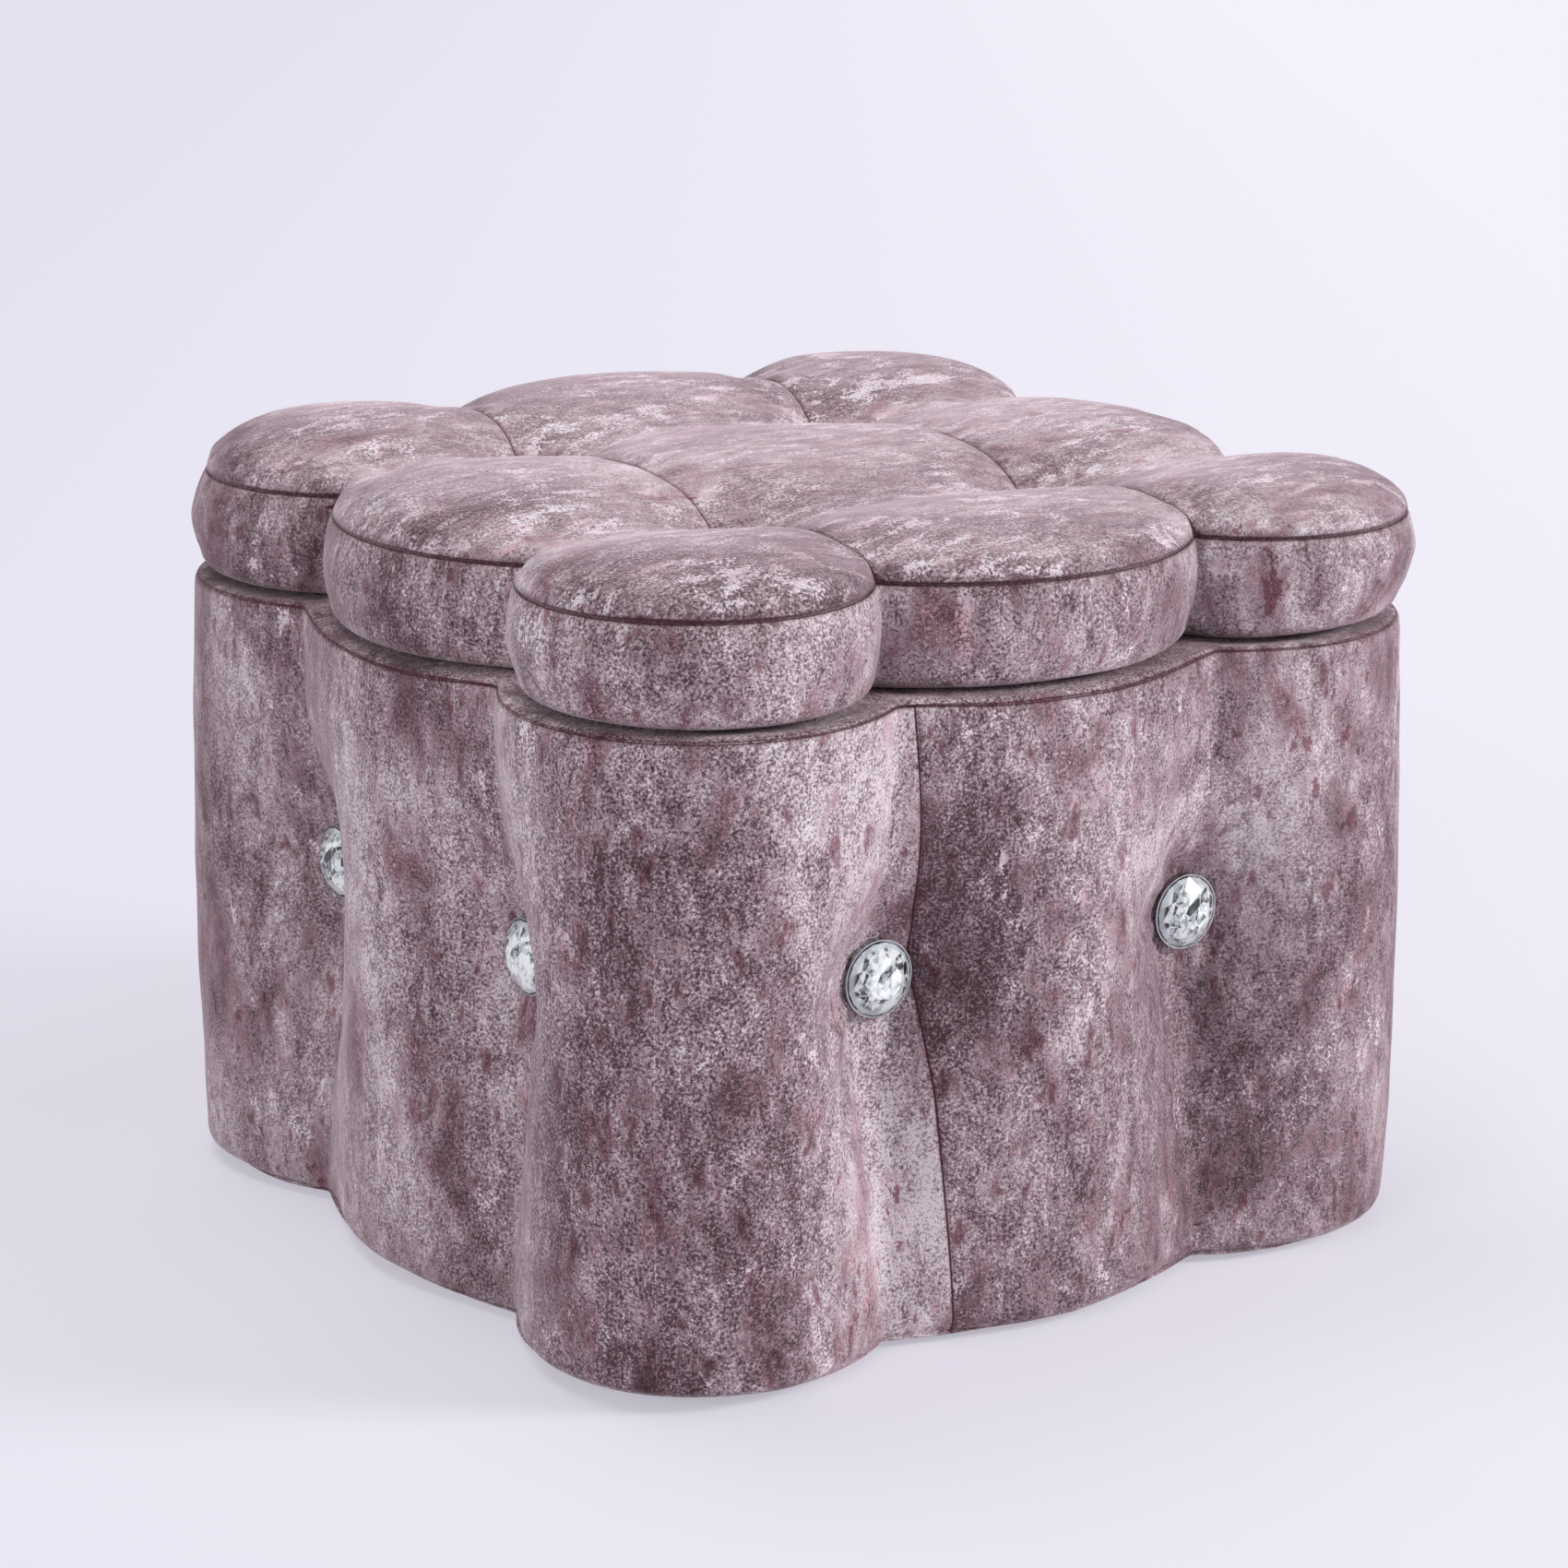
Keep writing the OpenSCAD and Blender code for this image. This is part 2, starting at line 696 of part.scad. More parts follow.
// Battens under the lid, which drop inside the box and keep the lid in place
batten_z = lid_seat - lining_t - batten_h;
batten_half = 2 * cavity_half - post_side - sqrt(2) * (cover_t + lining_t + batten_play) - batten_reach;
screw_up = batten_h + lining_t + screw_bite_share * lid_board_t;

module screw_places() {
    for (turn = [0, 90, 180, 270], s = [-1, 1])
        rotate(turn)
            translate([s * batten_half * screw_place_share, batten_w / 2 - batten_reach, batten_z])
                children();
}

module lid_battens() {
    color(wood)
        difference() {
            for (turn = [0, 90, 180, 270])
                rotate(turn)
                    translate([-batten_half, -batten_reach, batten_z])
                        cube([2 * batten_half, batten_w, batten_h]);
            screw_places() {
                translate([0, 0, -over]) cylinder(r = screw_r + hole_play, h = batten_h + 2 * over);
                translate([0, 0, -over]) cylinder(r = screw_head_r + hole_play, h = screw_head_h + over);
            }
        }
}

module batten_screws() {
    color(steel)
        screw_places() {
            cylinder(r = screw_head_r, h = screw_head_h);
            cylinder(r = screw_r, h = screw_up);
        }
}

module lid_crystals() { lid_buttons() crystal(); }
module lid_cups() { lid_buttons() cup(); }
module lid_twines() { lid_buttons() twine(lid_depth + washer_t); }
module lid_washers() { lid_buttons() washer(lid_depth); }

base_board();
front_panel();
back_panel();
left_panel();
right_panel();
corner_posts();
foam_front();
foam_back();
foam_left();
foam_right();
side_cover();
rim_cover();
lining_sides();
lining_floor();
dust_cover();
feet();
foot_nails();
crystals_front();
crystals_back();
crystals_left();
crystals_right();
cups_front();
cups_back();
cups_left();
cups_right();
twines_front();
twines_back();
twines_left();
twines_right();
washers_front();
washers_back();
washers_left();
washers_right();
lid_board();
lid_battens();
batten_screws();
lid_lining();
lid_foam();
lid_top_cover();
lid_side_band();
lid_crystals();
lid_cups();
lid_twines();
lid_washers();
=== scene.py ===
import math

import bpy
import numpy as np
from mathutils import Matrix, Vector, noise


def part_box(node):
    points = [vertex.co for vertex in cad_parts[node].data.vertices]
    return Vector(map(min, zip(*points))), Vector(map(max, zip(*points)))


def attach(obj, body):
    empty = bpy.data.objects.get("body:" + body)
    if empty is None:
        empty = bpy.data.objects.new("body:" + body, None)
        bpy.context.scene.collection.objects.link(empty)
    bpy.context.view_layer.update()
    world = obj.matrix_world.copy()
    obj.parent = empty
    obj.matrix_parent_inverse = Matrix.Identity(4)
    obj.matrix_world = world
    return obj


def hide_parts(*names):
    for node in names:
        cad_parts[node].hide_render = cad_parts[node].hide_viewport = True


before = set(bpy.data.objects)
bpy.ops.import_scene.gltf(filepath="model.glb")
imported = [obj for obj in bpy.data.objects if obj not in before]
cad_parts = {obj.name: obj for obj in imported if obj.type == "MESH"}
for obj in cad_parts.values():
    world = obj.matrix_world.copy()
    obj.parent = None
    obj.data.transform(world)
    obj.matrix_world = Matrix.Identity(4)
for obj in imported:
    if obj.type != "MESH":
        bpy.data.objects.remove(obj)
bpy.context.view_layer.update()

# The pouf, in metres: a padded box with eight velvet lobes round it, pulled in by crystal
# buttons, and a lift-off cushion lid of nine pillows. The front faces -Y.

# The thickness of the velvet, and of a cup under its crystal
CLOTH_T = 0.0016
CUP_FLOOR = 0.0008

# Sizes read from the frame
side_low, side_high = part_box("side_cover")
rim_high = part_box("rim_cover")[1]
base_low, base_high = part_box("base_board")
lid_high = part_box("lid_top_cover")[1]
band_low, band_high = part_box("lid_side_band")
board_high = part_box("lid_board")[1]
gem_low, gem_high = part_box("crystals_front")
lid_gem_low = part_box("lid_crystals")[0]
dust_low, dust_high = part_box("dust_cover")
panel_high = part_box("front_panel")[1]
BODY_REACH = side_high.x
LID_REACH = lid_high.x
RIM_Z = side_high.z
RIM_TOP = rim_high.z
TURN_Z = side_low.z
BASE_Z = base_low.z
BASE_TOP = base_high.z
BOX_HALF = base_high.x
BAND_Z = band_low.z
SEAM_Z = band_high.z + CLOTH_T
CROWN_Z = lid_high.z
BOARD_TOP = board_high.z
GEM_Z = (gem_low.z + gem_high.z) / 2
GEM_R = (gem_high.z - gem_low.z) / 2
HALF_PITCH = gem_high.x - GEM_R
GEM_H = gem_high.y - gem_low.y
SEAT_REACH = -gem_high.y - CUP_FLOOR
TUFT_Z = lid_gem_low.z - CUP_FLOOR
DUST_HALF = dust_high.x
PANEL_TOP = panel_high.z

# Sizes of the upholstery
LID_FORM = (0.031, 0.022)
BOX_FORM = (0.015, 0.022)
BELLY = 0.002
BOTTOM_ROUND = 0.007
FLARE_TOP = 0.0034
FLARE_LOW = 0.0062
HANG = 0.0003
RIM_ROUND = 0.003
RIM_SEAM_ANGLE = 32
RIM_DROOP = 0.0028
RIM_DROOP_W = 0.055
RIM_UNEVEN = 0.0005
RIM_UNEVEN_RUN = 0.035
RIM_UNEVEN_W = 0.1
RIM_SAG = 0.0022
RIM_CORNER_SINK = 0.0022
SEAM_SINK = 0.0003
RIM_THREAD = 0.00025
PANEL_T = 0.012
POST_LEG = 0.024
LINING_T = 0.0008
SKIRT_H = 0.034
SKIRT_SHOW = 0.018
TURN_UNDER = 0.025
LID_BULGE = 0.004
LID_ROUND = 0.0078
LID_TURN = 0.012
LEAN_ACROSS = 0.0038
LEAN_ROUND = 0.019
PILLOW_RUN = 0.050
FOLD_DEPTH = 0.0075
FOLD_W = 0.030
CREASE_DEPTH = 0.0025
CREASE_W = 0.007
TUFT_DEPTH = CROWN_Z - TUFT_Z
TUFT_W = 0.019
PULL_W = 0.021
PULL_FLAT = 0.010
PULL_POINT = 0.004
PULL_UP = 0.7
PULL_DOWN = 0.25
CAVITY_HALF = BOX_HALF - PANEL_T

# The upright seam of the front's velvet: heights, and its x there
SEAM_HEIGHTS = (0.0, 0.018, 0.101, 0.168, 0.246, 0.26)
SEAM_PLACES = (-0.0490, -0.0500, -0.0535, -0.0615, -0.0690, -0.0700)

# How the velvet crumples: the length of its puckers, rolls and ripples, how much of the rolls' depth the
# ripples have, and the strip beside a seam that is sewn flat
PUCKER_RUN = 0.011
ROLL_RUN = 0.05
RIPPLE_RUN = 0.02
RIPPLE_SHARE = 0.35
SEAM_FLAT = 0.003

# The cover while it is blown out, as cloth: its stretch, shear, bend and weight, the care of each step, the
# air inside it, and the frames that it is given
COVER_STRETCH = 12
COVER_SHEAR = 4
COVER_BEND = 0.6
COVER_MASS = 0.3
COVER_STEPS = 5
AIR = 3.0
BLOWN_FRAMES = 20

# How far the padding may swell at the sides, on the pillows and at the lid's band, what the band swells
# more towards the front right, and the share by which the lid's cover is cut larger
SIDE_SWELL = 0.004
PILLOW_SWELL = 0.0012
BAND_SWELL = 0.0042
BAND_SWELL_MORE = 0.0012
LID_SLACK = 0.006

# Where the covers are held and how firmly, up to 1: down the valleys, round the side buttons, along the
# lid's creases and broad folds, round its tufts, and low on its band
VALLEY_HOLD_W = 0.006
VALLEY_HOLD = 0.42
BUTTON_HOLD_R = 0.024
CREASE_HOLD_W = 0.0022
CREASE_HOLD = 0.97
FOLD_HOLD_W = 0.012
FOLD_HOLD = 0.5
TUFT_HOLD_R = 0.017
BAND_HOLD = 0.25

# The velvet at a side button: its room behind the cup, the strip past the crystal's edge that it keeps
# there, the slope on which it may rise beyond, and how far out that holds. Then the folds beside it: their
# depth, where they are deepest, and their run
SEAT_ROOM, SEAT_STRIP, SEAT_SLOPE, SEAT_RUN = 0.0006, 0.0012, 0.85, 0.05
FOLDS_DEEP, FOLDS_AT, FOLDS_RUN = 0.0008, 0.026, 0.014

# The rim's velvet: how far it laps over the lip of the side's, its sag between the edges, the width and the
# drop of its bend into the box, and its rolls
RIM_LAP = 0.0003
RIM_HOLLOW = 0.0006
BEND_W, BEND_DROP = 0.003, 0.004
RIM_ROLL = 0.0005

# How full the lid's pillows are: all of them, and what they lose to the right and near the front, with the
# share of the latter that the right front corner keeps
PLUMP, LESS_RIGHT, LESS_NEAR, CORNER_KEEPS = 1.02, 0.11, 0.20, 0.6

# The sway of the lid's creases, its wave, and the room round a tuft where the cover doesn't lean
CREASE_SWAY, SWAY_WAVE, LEAN_FREE = 0.0013, 0.04, 0.026

# Mesh steps round the lobes, up the sides and over the pillows
MID_STEPS = 28
CORNER_STEPS = 38
WALL_STEPS = 40
PILLOW_STEPS = 26
BAND_STEPS = 9
LINING_STEPS = 40
PLATE_STEPS = 10

# Colours behind the pouf, paler towards the right as painted light, and the light from all round
BACK_LEFT = (0.785, 0.765, 0.87)
BACK_RIGHT = (0.90, 0.88, 0.975)
FLOOR_REACH = 12.0
WORLD_LIGHT = 0.26

# Camera at the photograph's place
AZIMUTH = math.radians(-34.573)
ELEVATION = math.radians(15.862)
ROLL = math.radians(0.242)
DISTANCE = 1.6471
LENS = 91.39
LOOK_AT = Vector((0, 0, 0.15857))
SHIFT_RIGHT = -0.0003
SHIFT_UP = 0.01044
ACROSS = (math.cos(AZIMUTH), math.sin(AZIMUTH), 0)


def make_camera():
    back = Vector((math.sin(AZIMUTH) * math.cos(ELEVATION), -math.cos(AZIMUTH) * math.cos(ELEVATION),
                   math.sin(ELEVATION)))
    right = Vector((math.cos(AZIMUTH), math.sin(AZIMUTH), 0))
    up = back.cross(right)
    turned_right = right * math.cos(ROLL) + up * math.sin(ROLL)
    turned_up = up * math.cos(ROLL) - right * math.sin(ROLL)
    place = LOOK_AT + turned_right * SHIFT_RIGHT + turned_up * SHIFT_UP + back * DISTANCE
    lens = bpy.data.cameras.new("camera")
    lens.lens = LENS
    lens.sensor_width = 36
    lens.clip_start = 0.05
    camera = bpy.data.objects.new("camera", lens)
    axes = Matrix((turned_right, turned_up, back)).transposed().to_4x4()
    camera.matrix_world = Matrix.Translation(place) @ axes
    bpy.context.scene.collection.objects.link(camera)
    bpy.context.scene.camera = camera


# Node trees
class Tree:
    """A node tree under construction."""

    def __init__(self, tree, family=""):
        self.tree = tree
        self.family = family

    def add(self, kind, inputs=None, **settings):
        node = self.tree.nodes.new(self.family + kind)
        for key, value in settings.items():
            setattr(node, key, value)
        for key, value in (inputs or {}).items():
            self.put(value, node.inputs[key])
        return node

    def put(self, value, socket):
        """Gives a socket a plain value, or the value that another node makes."""
        if isinstance(value, bpy.types.NodeSocket):
            self.tree.links.new(value, socket)
        else:
            socket.default_value = value


class Finish(Tree):
    """A material, or the world's light, under construction: out() closes it."""

    def __init__(self, name, world=False):
        self.made = (bpy.data.worlds if world else bpy.data.materials).new(name)
        self.made.use_nodes = True
        super().__init__(self.made.node_tree, "ShaderNode")
        self.tree.nodes.clear()
        self.end = self.add("OutputWorld" if world else "OutputMaterial")

    def math(self, operation, *values, clamp=False):
        return self.add("Math", dict(enumerate(values)), operation=operation, use_clamp=clamp).outputs[0]

    def noise(self, place, scale, detail=3.0, roughness=0.55, distortion=0.0):
        return self.add("TexNoise", {"Vector": place, "Scale": scale, "Detail": detail,
                                     "Roughness": roughness, "Distortion": distortion}).outputs["Fac"]

    def ramp(self, value, stops):
        node = self.add("ValToRGB", {"Fac": value})
        points = node.color_ramp.elements
        while len(points) < len(stops):
            points.new(1)
        for point, (place, color) in zip(points, stops):
            point.position = place
            point.color = (*color, 1)
        return node.outputs["Color"]

    def remap(self, value, low, high, to_low=0.0, to_high=1.0):
        return self.add("MapRange", {"Value": value, "From Min": low, "From Max": high,
                                     "To Min": to_low, "To Max": to_high}).outputs["Result"]

    def mix(self, share, a, b, blend="MIX"):
        node = self.add("Mix", data_type="RGBA", blend_type=blend)
        self.put(share, node.inputs[0])
        for socket, color in ((node.inputs[6], a), (node.inputs[7], b)):
            self.put((*color, 1) if isinstance(color, tuple) else color, socket)
        return node.outputs[2]

    def place(self, scale=(1, 1, 1), move=(0, 0, 0)):
        coords = self.add("TexCoord").outputs["Object"]
        return self.add("Mapping", {"Vector": coords, "Scale": scale, "Location": move}).outputs["Vector"]

    def out(self, shader):
        self.put(shader, self.end.inputs["Surface"])
        return self.made

    def surface(self, color, rough, relief=None, even=None):
        """Closes the material in one surface. relief is the height, strength and depth of its bump, and even
        holds what is the same all over."""
        shader = self.add("BsdfPrincipled", {"Base Color": color, "Roughness": rough, **(even or {})})
        if relief:
            bump = self.add("Bump", dict(zip(("Height", "Strength", "Distance"), relief)))
            self.put(bump.outputs["Normal"], shader.inputs["Normal"])
        return self.out(shader.outputs[0])


# Velvet: its colours from the deepest pile to the palest, those of its marks and seams, the fineness of
# each mark, and how far a sewn thread and the fold beside it reach
VELVET_TONES = [(0.0, (0.07, 0.038, 0.046)), (0.25, (0.165, 0.105, 0.125)), (0.5, (0.31, 0.222, 0.248)),
                (0.75, (0.49, 0.40, 0.43)), (1.0, (0.74, 0.65, 0.69))]
PATCH_TINT = (0.74, 0.57, 0.60)
FLECK_TINT = (0.45, 0.28, 0.31)
# The licks' near-white colour, partly the crushed pile's own pale marks and partly painted highlight
LICK_PALE_AND_HIGHLIGHT = (0.88, 0.80, 0.86)
# Painted shade laid over the fold beside a seam
FOLD_SHADE = (0.12, 0.04, 0.052)
THREAD_COLOR = (0.05, 0.003, 0.011)
SHEEN_COLOR = (1.0, 0.82, 0.90, 1)
PILE_FINE, GRIT_FINE, CLUMP_FINE, CLOUD_FINE = 860.0, 1900.0, 150.0, 13.0
PATCH_FINE, FLECK_FINE, LICK_FINE = 40.0, 120.0, 42.0
THREAD_FROM, THREAD_TO, FOLD_TO = 0.0002, 0.0005, 0.0016

# What each mark adds to the velvet's tone, from 0 to 1, and how far a lick, a fold's painted shade and a
# thread cover it
MIDDLE_TONE, GRIT_TONE, CLUMP_TONE, CLOUD_TONE, PATCH_TONE, LICK_TONE = 0.48, 1.1, 1.25, 1.5, -0.12, 0.2
# Painted light left of the upright seam, and painted shade right of it
NAP_PAINTED_LIGHT, NAP_PAINTED_SHADE = 0.30, -0.07
LICK_COVER, FOLD_SHADE_COVER, THREAD_COVER = 0.42, 0.42, 0.95

# How much the pile and its clumps fray the edges of the marks, and how soft those edges are
FRAY_PILE, FRAY_CLUMPS, FRAY_LICKS = 0.34, 0.42, 1.6
PATCH_SOFT, FLECK_FROM, FLECK_TO, LICK_SOFT = 0.06, 0.07, 0.10, 0.10

# The height of the nap's parts over its pile, its seams' depth, and the strength and depth of the relief
CLUMP_H, GRIT_H, FOLD_H = 1.1, 0.5, 1.4
NAP_RELIEF, NAP_DEPTH = 0.6, 0.0009


def velvet_finish(name, grain, speck, lift, patch_level, lick_level, sheen=(0.6, 0.35)):
    """Crushed velvet: a fine speckle of pile, dark patches where it lies away and bright licks, partly the
    crushed pile's own pale marks and partly painted highlight. grain stretches the marks: below 1 along an
    axis makes them longer there. speck is the contrast of the pile, lift how pale the cloth is, and the
    levels how rare its patches and licks are. sheen is its weight and roughness."""
    f = Finish(name)
    speckle = f.noise(f.place(), PILE_FINE, 1.0, 0.6)
    grit = f.noise(f.place((1, 1, 1), (0.4, 0.7, 0.1)), GRIT_FINE, 1.0, 0.6)
    clumps = f.noise(f.place(grain, (3.1, 1.7, 0.4)), CLUMP_FINE, 3.0, 0.6, 0.5)
    broad = f.noise(f.place(grain, (0.2, 0.5, 0.9)), CLOUD_FINE, 4.0, 0.55, 0.6)
    ragged = f.math("MULTIPLY", f.math("SUBTRACT", speckle, 0.5), FRAY_PILE)
    ragged = f.math("MULTIPLY_ADD", f.math("SUBTRACT", clumps, 0.5), FRAY_CLUMPS, ragged)
    patch = f.math("ADD", f.noise(f.place(grain, (1.3, 2.2, 0.3)), PATCH_FINE, 5.0, 0.66, 0.3), ragged)
    patch = f.remap(patch, patch_level, patch_level + PATCH_SOFT)
    fleck = f.math("ADD", f.noise(f.place(grain, (0.7, 4.2, 2.6)), FLECK_FINE, 3.0, 0.6, 0.2), ragged)
    fleck = f.remap(fleck, patch_level + FLECK_FROM, patch_level + FLECK_TO)
    # Licks: random pale marks of the crushed pile, whitened partly as painted highlight
    lick = f.noise(f.place(grain, (2.6, 0.3, 1.9)), LICK_FINE, 5.0, 0.62, 1.2)
    lick = f.math("MULTIPLY_ADD", ragged, FRAY_LICKS, lick)
    lick = f.remap(lick, lick_level, lick_level + LICK_SOFT)

    # The pile's speckle, at its strongest near the front left corner
    away = f.add("VectorMath", {0: f.place(), 1: (-BODY_REACH, -BODY_REACH, 0.15)}, operation="DISTANCE")
    pile = f.math("MULTIPLY", f.math("SUBTRACT", speckle, 0.5), 2.0 * speck)
    pile = f.math("MULTIPLY_ADD", f.math("SUBTRACT", grit, 0.5), GRIT_TONE * speck, pile)
    tone = f.math("MULTIPLY", pile, f.remap(away.outputs["Value"], 0.12, 0.33, 1.0, 0.62))
    tone = f.math("MULTIPLY_ADD", f.math("SUBTRACT", clumps, 0.5), CLUMP_TONE, tone)
    tone = f.math("MULTIPLY_ADD", f.math("SUBTRACT", broad, 0.5), CLOUD_TONE, tone)

    # Painted light and shade where the nap turns at the upright seam: pale to its left as painted light, dark
    # to its right as painted shade
    upright = f.add("Attribute", attribute_name="upright").outputs["Fac"]
    lit = f.math("MULTIPLY", f.remap(upright, -0.085, -0.02), f.math("LESS_THAN", upright, 0.0))
    painted_shade = f.math("MULTIPLY", f.remap(upright, 0.01, 0.04, 1.0, 0.0), f.math("GREATER_THAN", upright, 0.0))
    tone = f.math("MULTIPLY_ADD", lit, NAP_PAINTED_LIGHT, f.math("MULTIPLY_ADD", painted_shade, NAP_PAINTED_SHADE, tone))
    tone = f.math("MULTIPLY_ADD", patch, PATCH_TONE, f.math("ADD", tone, MIDDLE_TONE + lift))
    tone = f.math("MULTIPLY_ADD", lick, LICK_TONE, tone, clamp=True)
    color = f.ramp(tone, VELVET_TONES)
    color = f.mix(f.math("MULTIPLY", lick, LICK_COVER), color, LICK_PALE_AND_HIGHLIGHT)
    color = f.mix(patch, color, PATCH_TINT, "MULTIPLY")
    color = f.mix(fleck, color, FLECK_TINT, "MULTIPLY")

    # Beside each seam the thread's own dark colour, and past it the fold, darkened as painted shade and
    # dipped in the relief
    gap = f.add("Attribute", attribute_name="gap").outputs["Fac"]
    gap = f.math("MINIMUM", gap, f.math("ABSOLUTE", upright))
    thread = f.remap(gap, THREAD_FROM, THREAD_TO, 1.0, 0.0)
    fold = f.remap(gap, 0.0, FOLD_TO, 1.0, 0.0)
    color = f.mix(f.math("MULTIPLY", fold, FOLD_SHADE_COVER), color, FOLD_SHADE)
    color = f.mix(f.math("MULTIPLY", thread, THREAD_COVER), color, THREAD_COLOR)
    height = f.math("MULTIPLY_ADD", clumps, CLUMP_H, f.math("MULTIPLY_ADD", grit, GRIT_H, speckle))
    height = f.math("SUBTRACT", height, f.math("MULTIPLY", fold, FOLD_H))
    return f.surface(color, f.remap(tone, 0.0, 1.0, 0.95, 0.6), (height, NAP_RELIEF, NAP_DEPTH),
                     {"Sheen Weight": sheen[0], "Sheen Roughness": sheen[1], "Sheen Tint": SHEEN_COLOR,
                      "Specular IOR Level": 0.3})


def cloth_finish(name, color, weave=900.0):
    """Thin lining or backing cloth with a fine pressed texture."""
    f = Finish(name)
    place = f.place()
    fine = f.noise(place, weave, 3.0, 0.7)
    broad = f.noise(place, 30.0, 4.0, 0.6)
    dots = f.add("TexVoronoi", {"Vector": place, "Scale": 520.0}, feature="F1").outputs["Distance"]
    tone = f.math("ADD", f.math("MULTIPLY", fine, 0.6), f.math("MULTIPLY", broad, 0.4))
    dark = tuple(c * 0.55 for c in color)
    light = tuple(min(1, c * 1.5) for c in color)
    shade = f.ramp(tone, [(0.3, dark), (0.5, color), (0.72, light)])
    height = f.math("ADD", f.math("MULTIPLY", fine, 0.5), f.math("MULTIPLY", dots, 0.9))
    return f.surface(shade, 0.85, (height, 0.5, 0.0005), {"Sheen Weight": 0.15})


def wood_finish(name, along, tint=1.0):
    """Raw softwood or plywood with its grain along one axis: 0 for X, 1 for Y, 2 for Z."""
    f = Finish(name)
    stretch = [26.0, 26.0, 26.0]
    stretch[along] = 1.6
    place = f.place(tuple(stretch))
    figure = f.noise(place, 1.0, 6.0, 0.6, 1.8)
    rings = f.add("TexWave", {"Vector": place, "Scale": 1.3, "Distortion": 5.0, "Detail": 3.0,
                              "Detail Scale": 1.5}).outputs["Fac"]
    pores = f.noise(f.place(tuple(s * 14 for s in stretch)), 1.0, 2.0, 0.7)
    tone = f.math("ADD", f.math("MULTIPLY", figure, 0.6), f.math("MULTIPLY", rings, 0.3))
    tone = f.math("ADD", tone, f.math("MULTIPLY", pores, 0.2))
    stops = [(0.25, (0.33, 0.19, 0.085)), (0.5, (0.55, 0.37, 0.19)), (0.8, (0.72, 0.54, 0.32))]
    color = f.ramp(tone, [(s, tuple(c * tint for c in rgb)) for s, rgb in stops])
    height = f.math("ADD", pores, f.math("MULTIPLY", rings, 0.4))
    return f.surface(color, f.remap(pores, 0.3, 0.7, 0.55, 0.8), (height, 0.4, 0.0005))


def metal_finish(name, color, rough_low, rough_high, scratch=300.0):
    f = Finish(name)
    wear = f.noise(f.place(), scratch, 4.0, 0.6)
    clouds = f.noise(f.place(), 60.0, 3.0)
    dark = tuple(c * 0.7 for c in color)
    shade = f.ramp(f.math("ADD", f.math("MULTIPLY", wear, 0.5), f.math("MULTIPLY", clouds, 0.5)),
                   [(0.35, dark), (0.55, color)])
    return f.surface(shade, f.remap(wear, 0.3, 0.7, rough_low, rough_high), (wear, 0.12, 0.0002),
                     {"Metallic": 1.0})


def plastic_finish():
    f = Finish("moulded_plastic")
    grain = f.noise(f.place(), 1400.0, 2.0)
    scuffs = f.noise(f.place(), 90.0, 4.0, 0.7)
    color = f.ramp(scuffs, [(0.4, (0.018, 0.018, 0.019)), (0.75, (0.05, 0.05, 0.052))])
    return f.surface(color, f.remap(scuffs, 0.3, 0.7, 0.38, 0.6), (grain, 0.3, 0.0002))


def twine_finish(name, dark, pale):
    f = Finish(name)
    twist = f.add("TexWave", {"Vector": f.place(), "Scale": 420.0, "Distortion": 2.0},
                  bands_direction="DIAGONAL").outputs["Fac"]
    return f.surface(f.ramp(twist, [(0.2, dark), (0.8, pale)]), 0.7, (twist, 0.7, 0.0004))


# Painted reflections of the cut glass, from its darkest slivers to its brightest, and painted glints on its
# edge lines and girdle
GLASS_REFLECTION_TONES = [(0.36, (0.012, 0.014, 0.014)), (0.52, (0.09, 0.10, 0.10)), (0.66, (0.36, 0.40, 0.41)),
               (0.86, (0.70, 0.76, 0.78)), (1.0, (0.97, 0.98, 0.98))]
GLASS_EDGE_GLINT = (0.93, 0.96, 0.97)
GIRDLE_GLINT = (0.62, 0.69, 0.71)
SLIVER_TURN, SLIVER_LONG, SLIVER_FINE, CHIP_FINE = math.radians(-38), 2.6, 4.6, 8.0


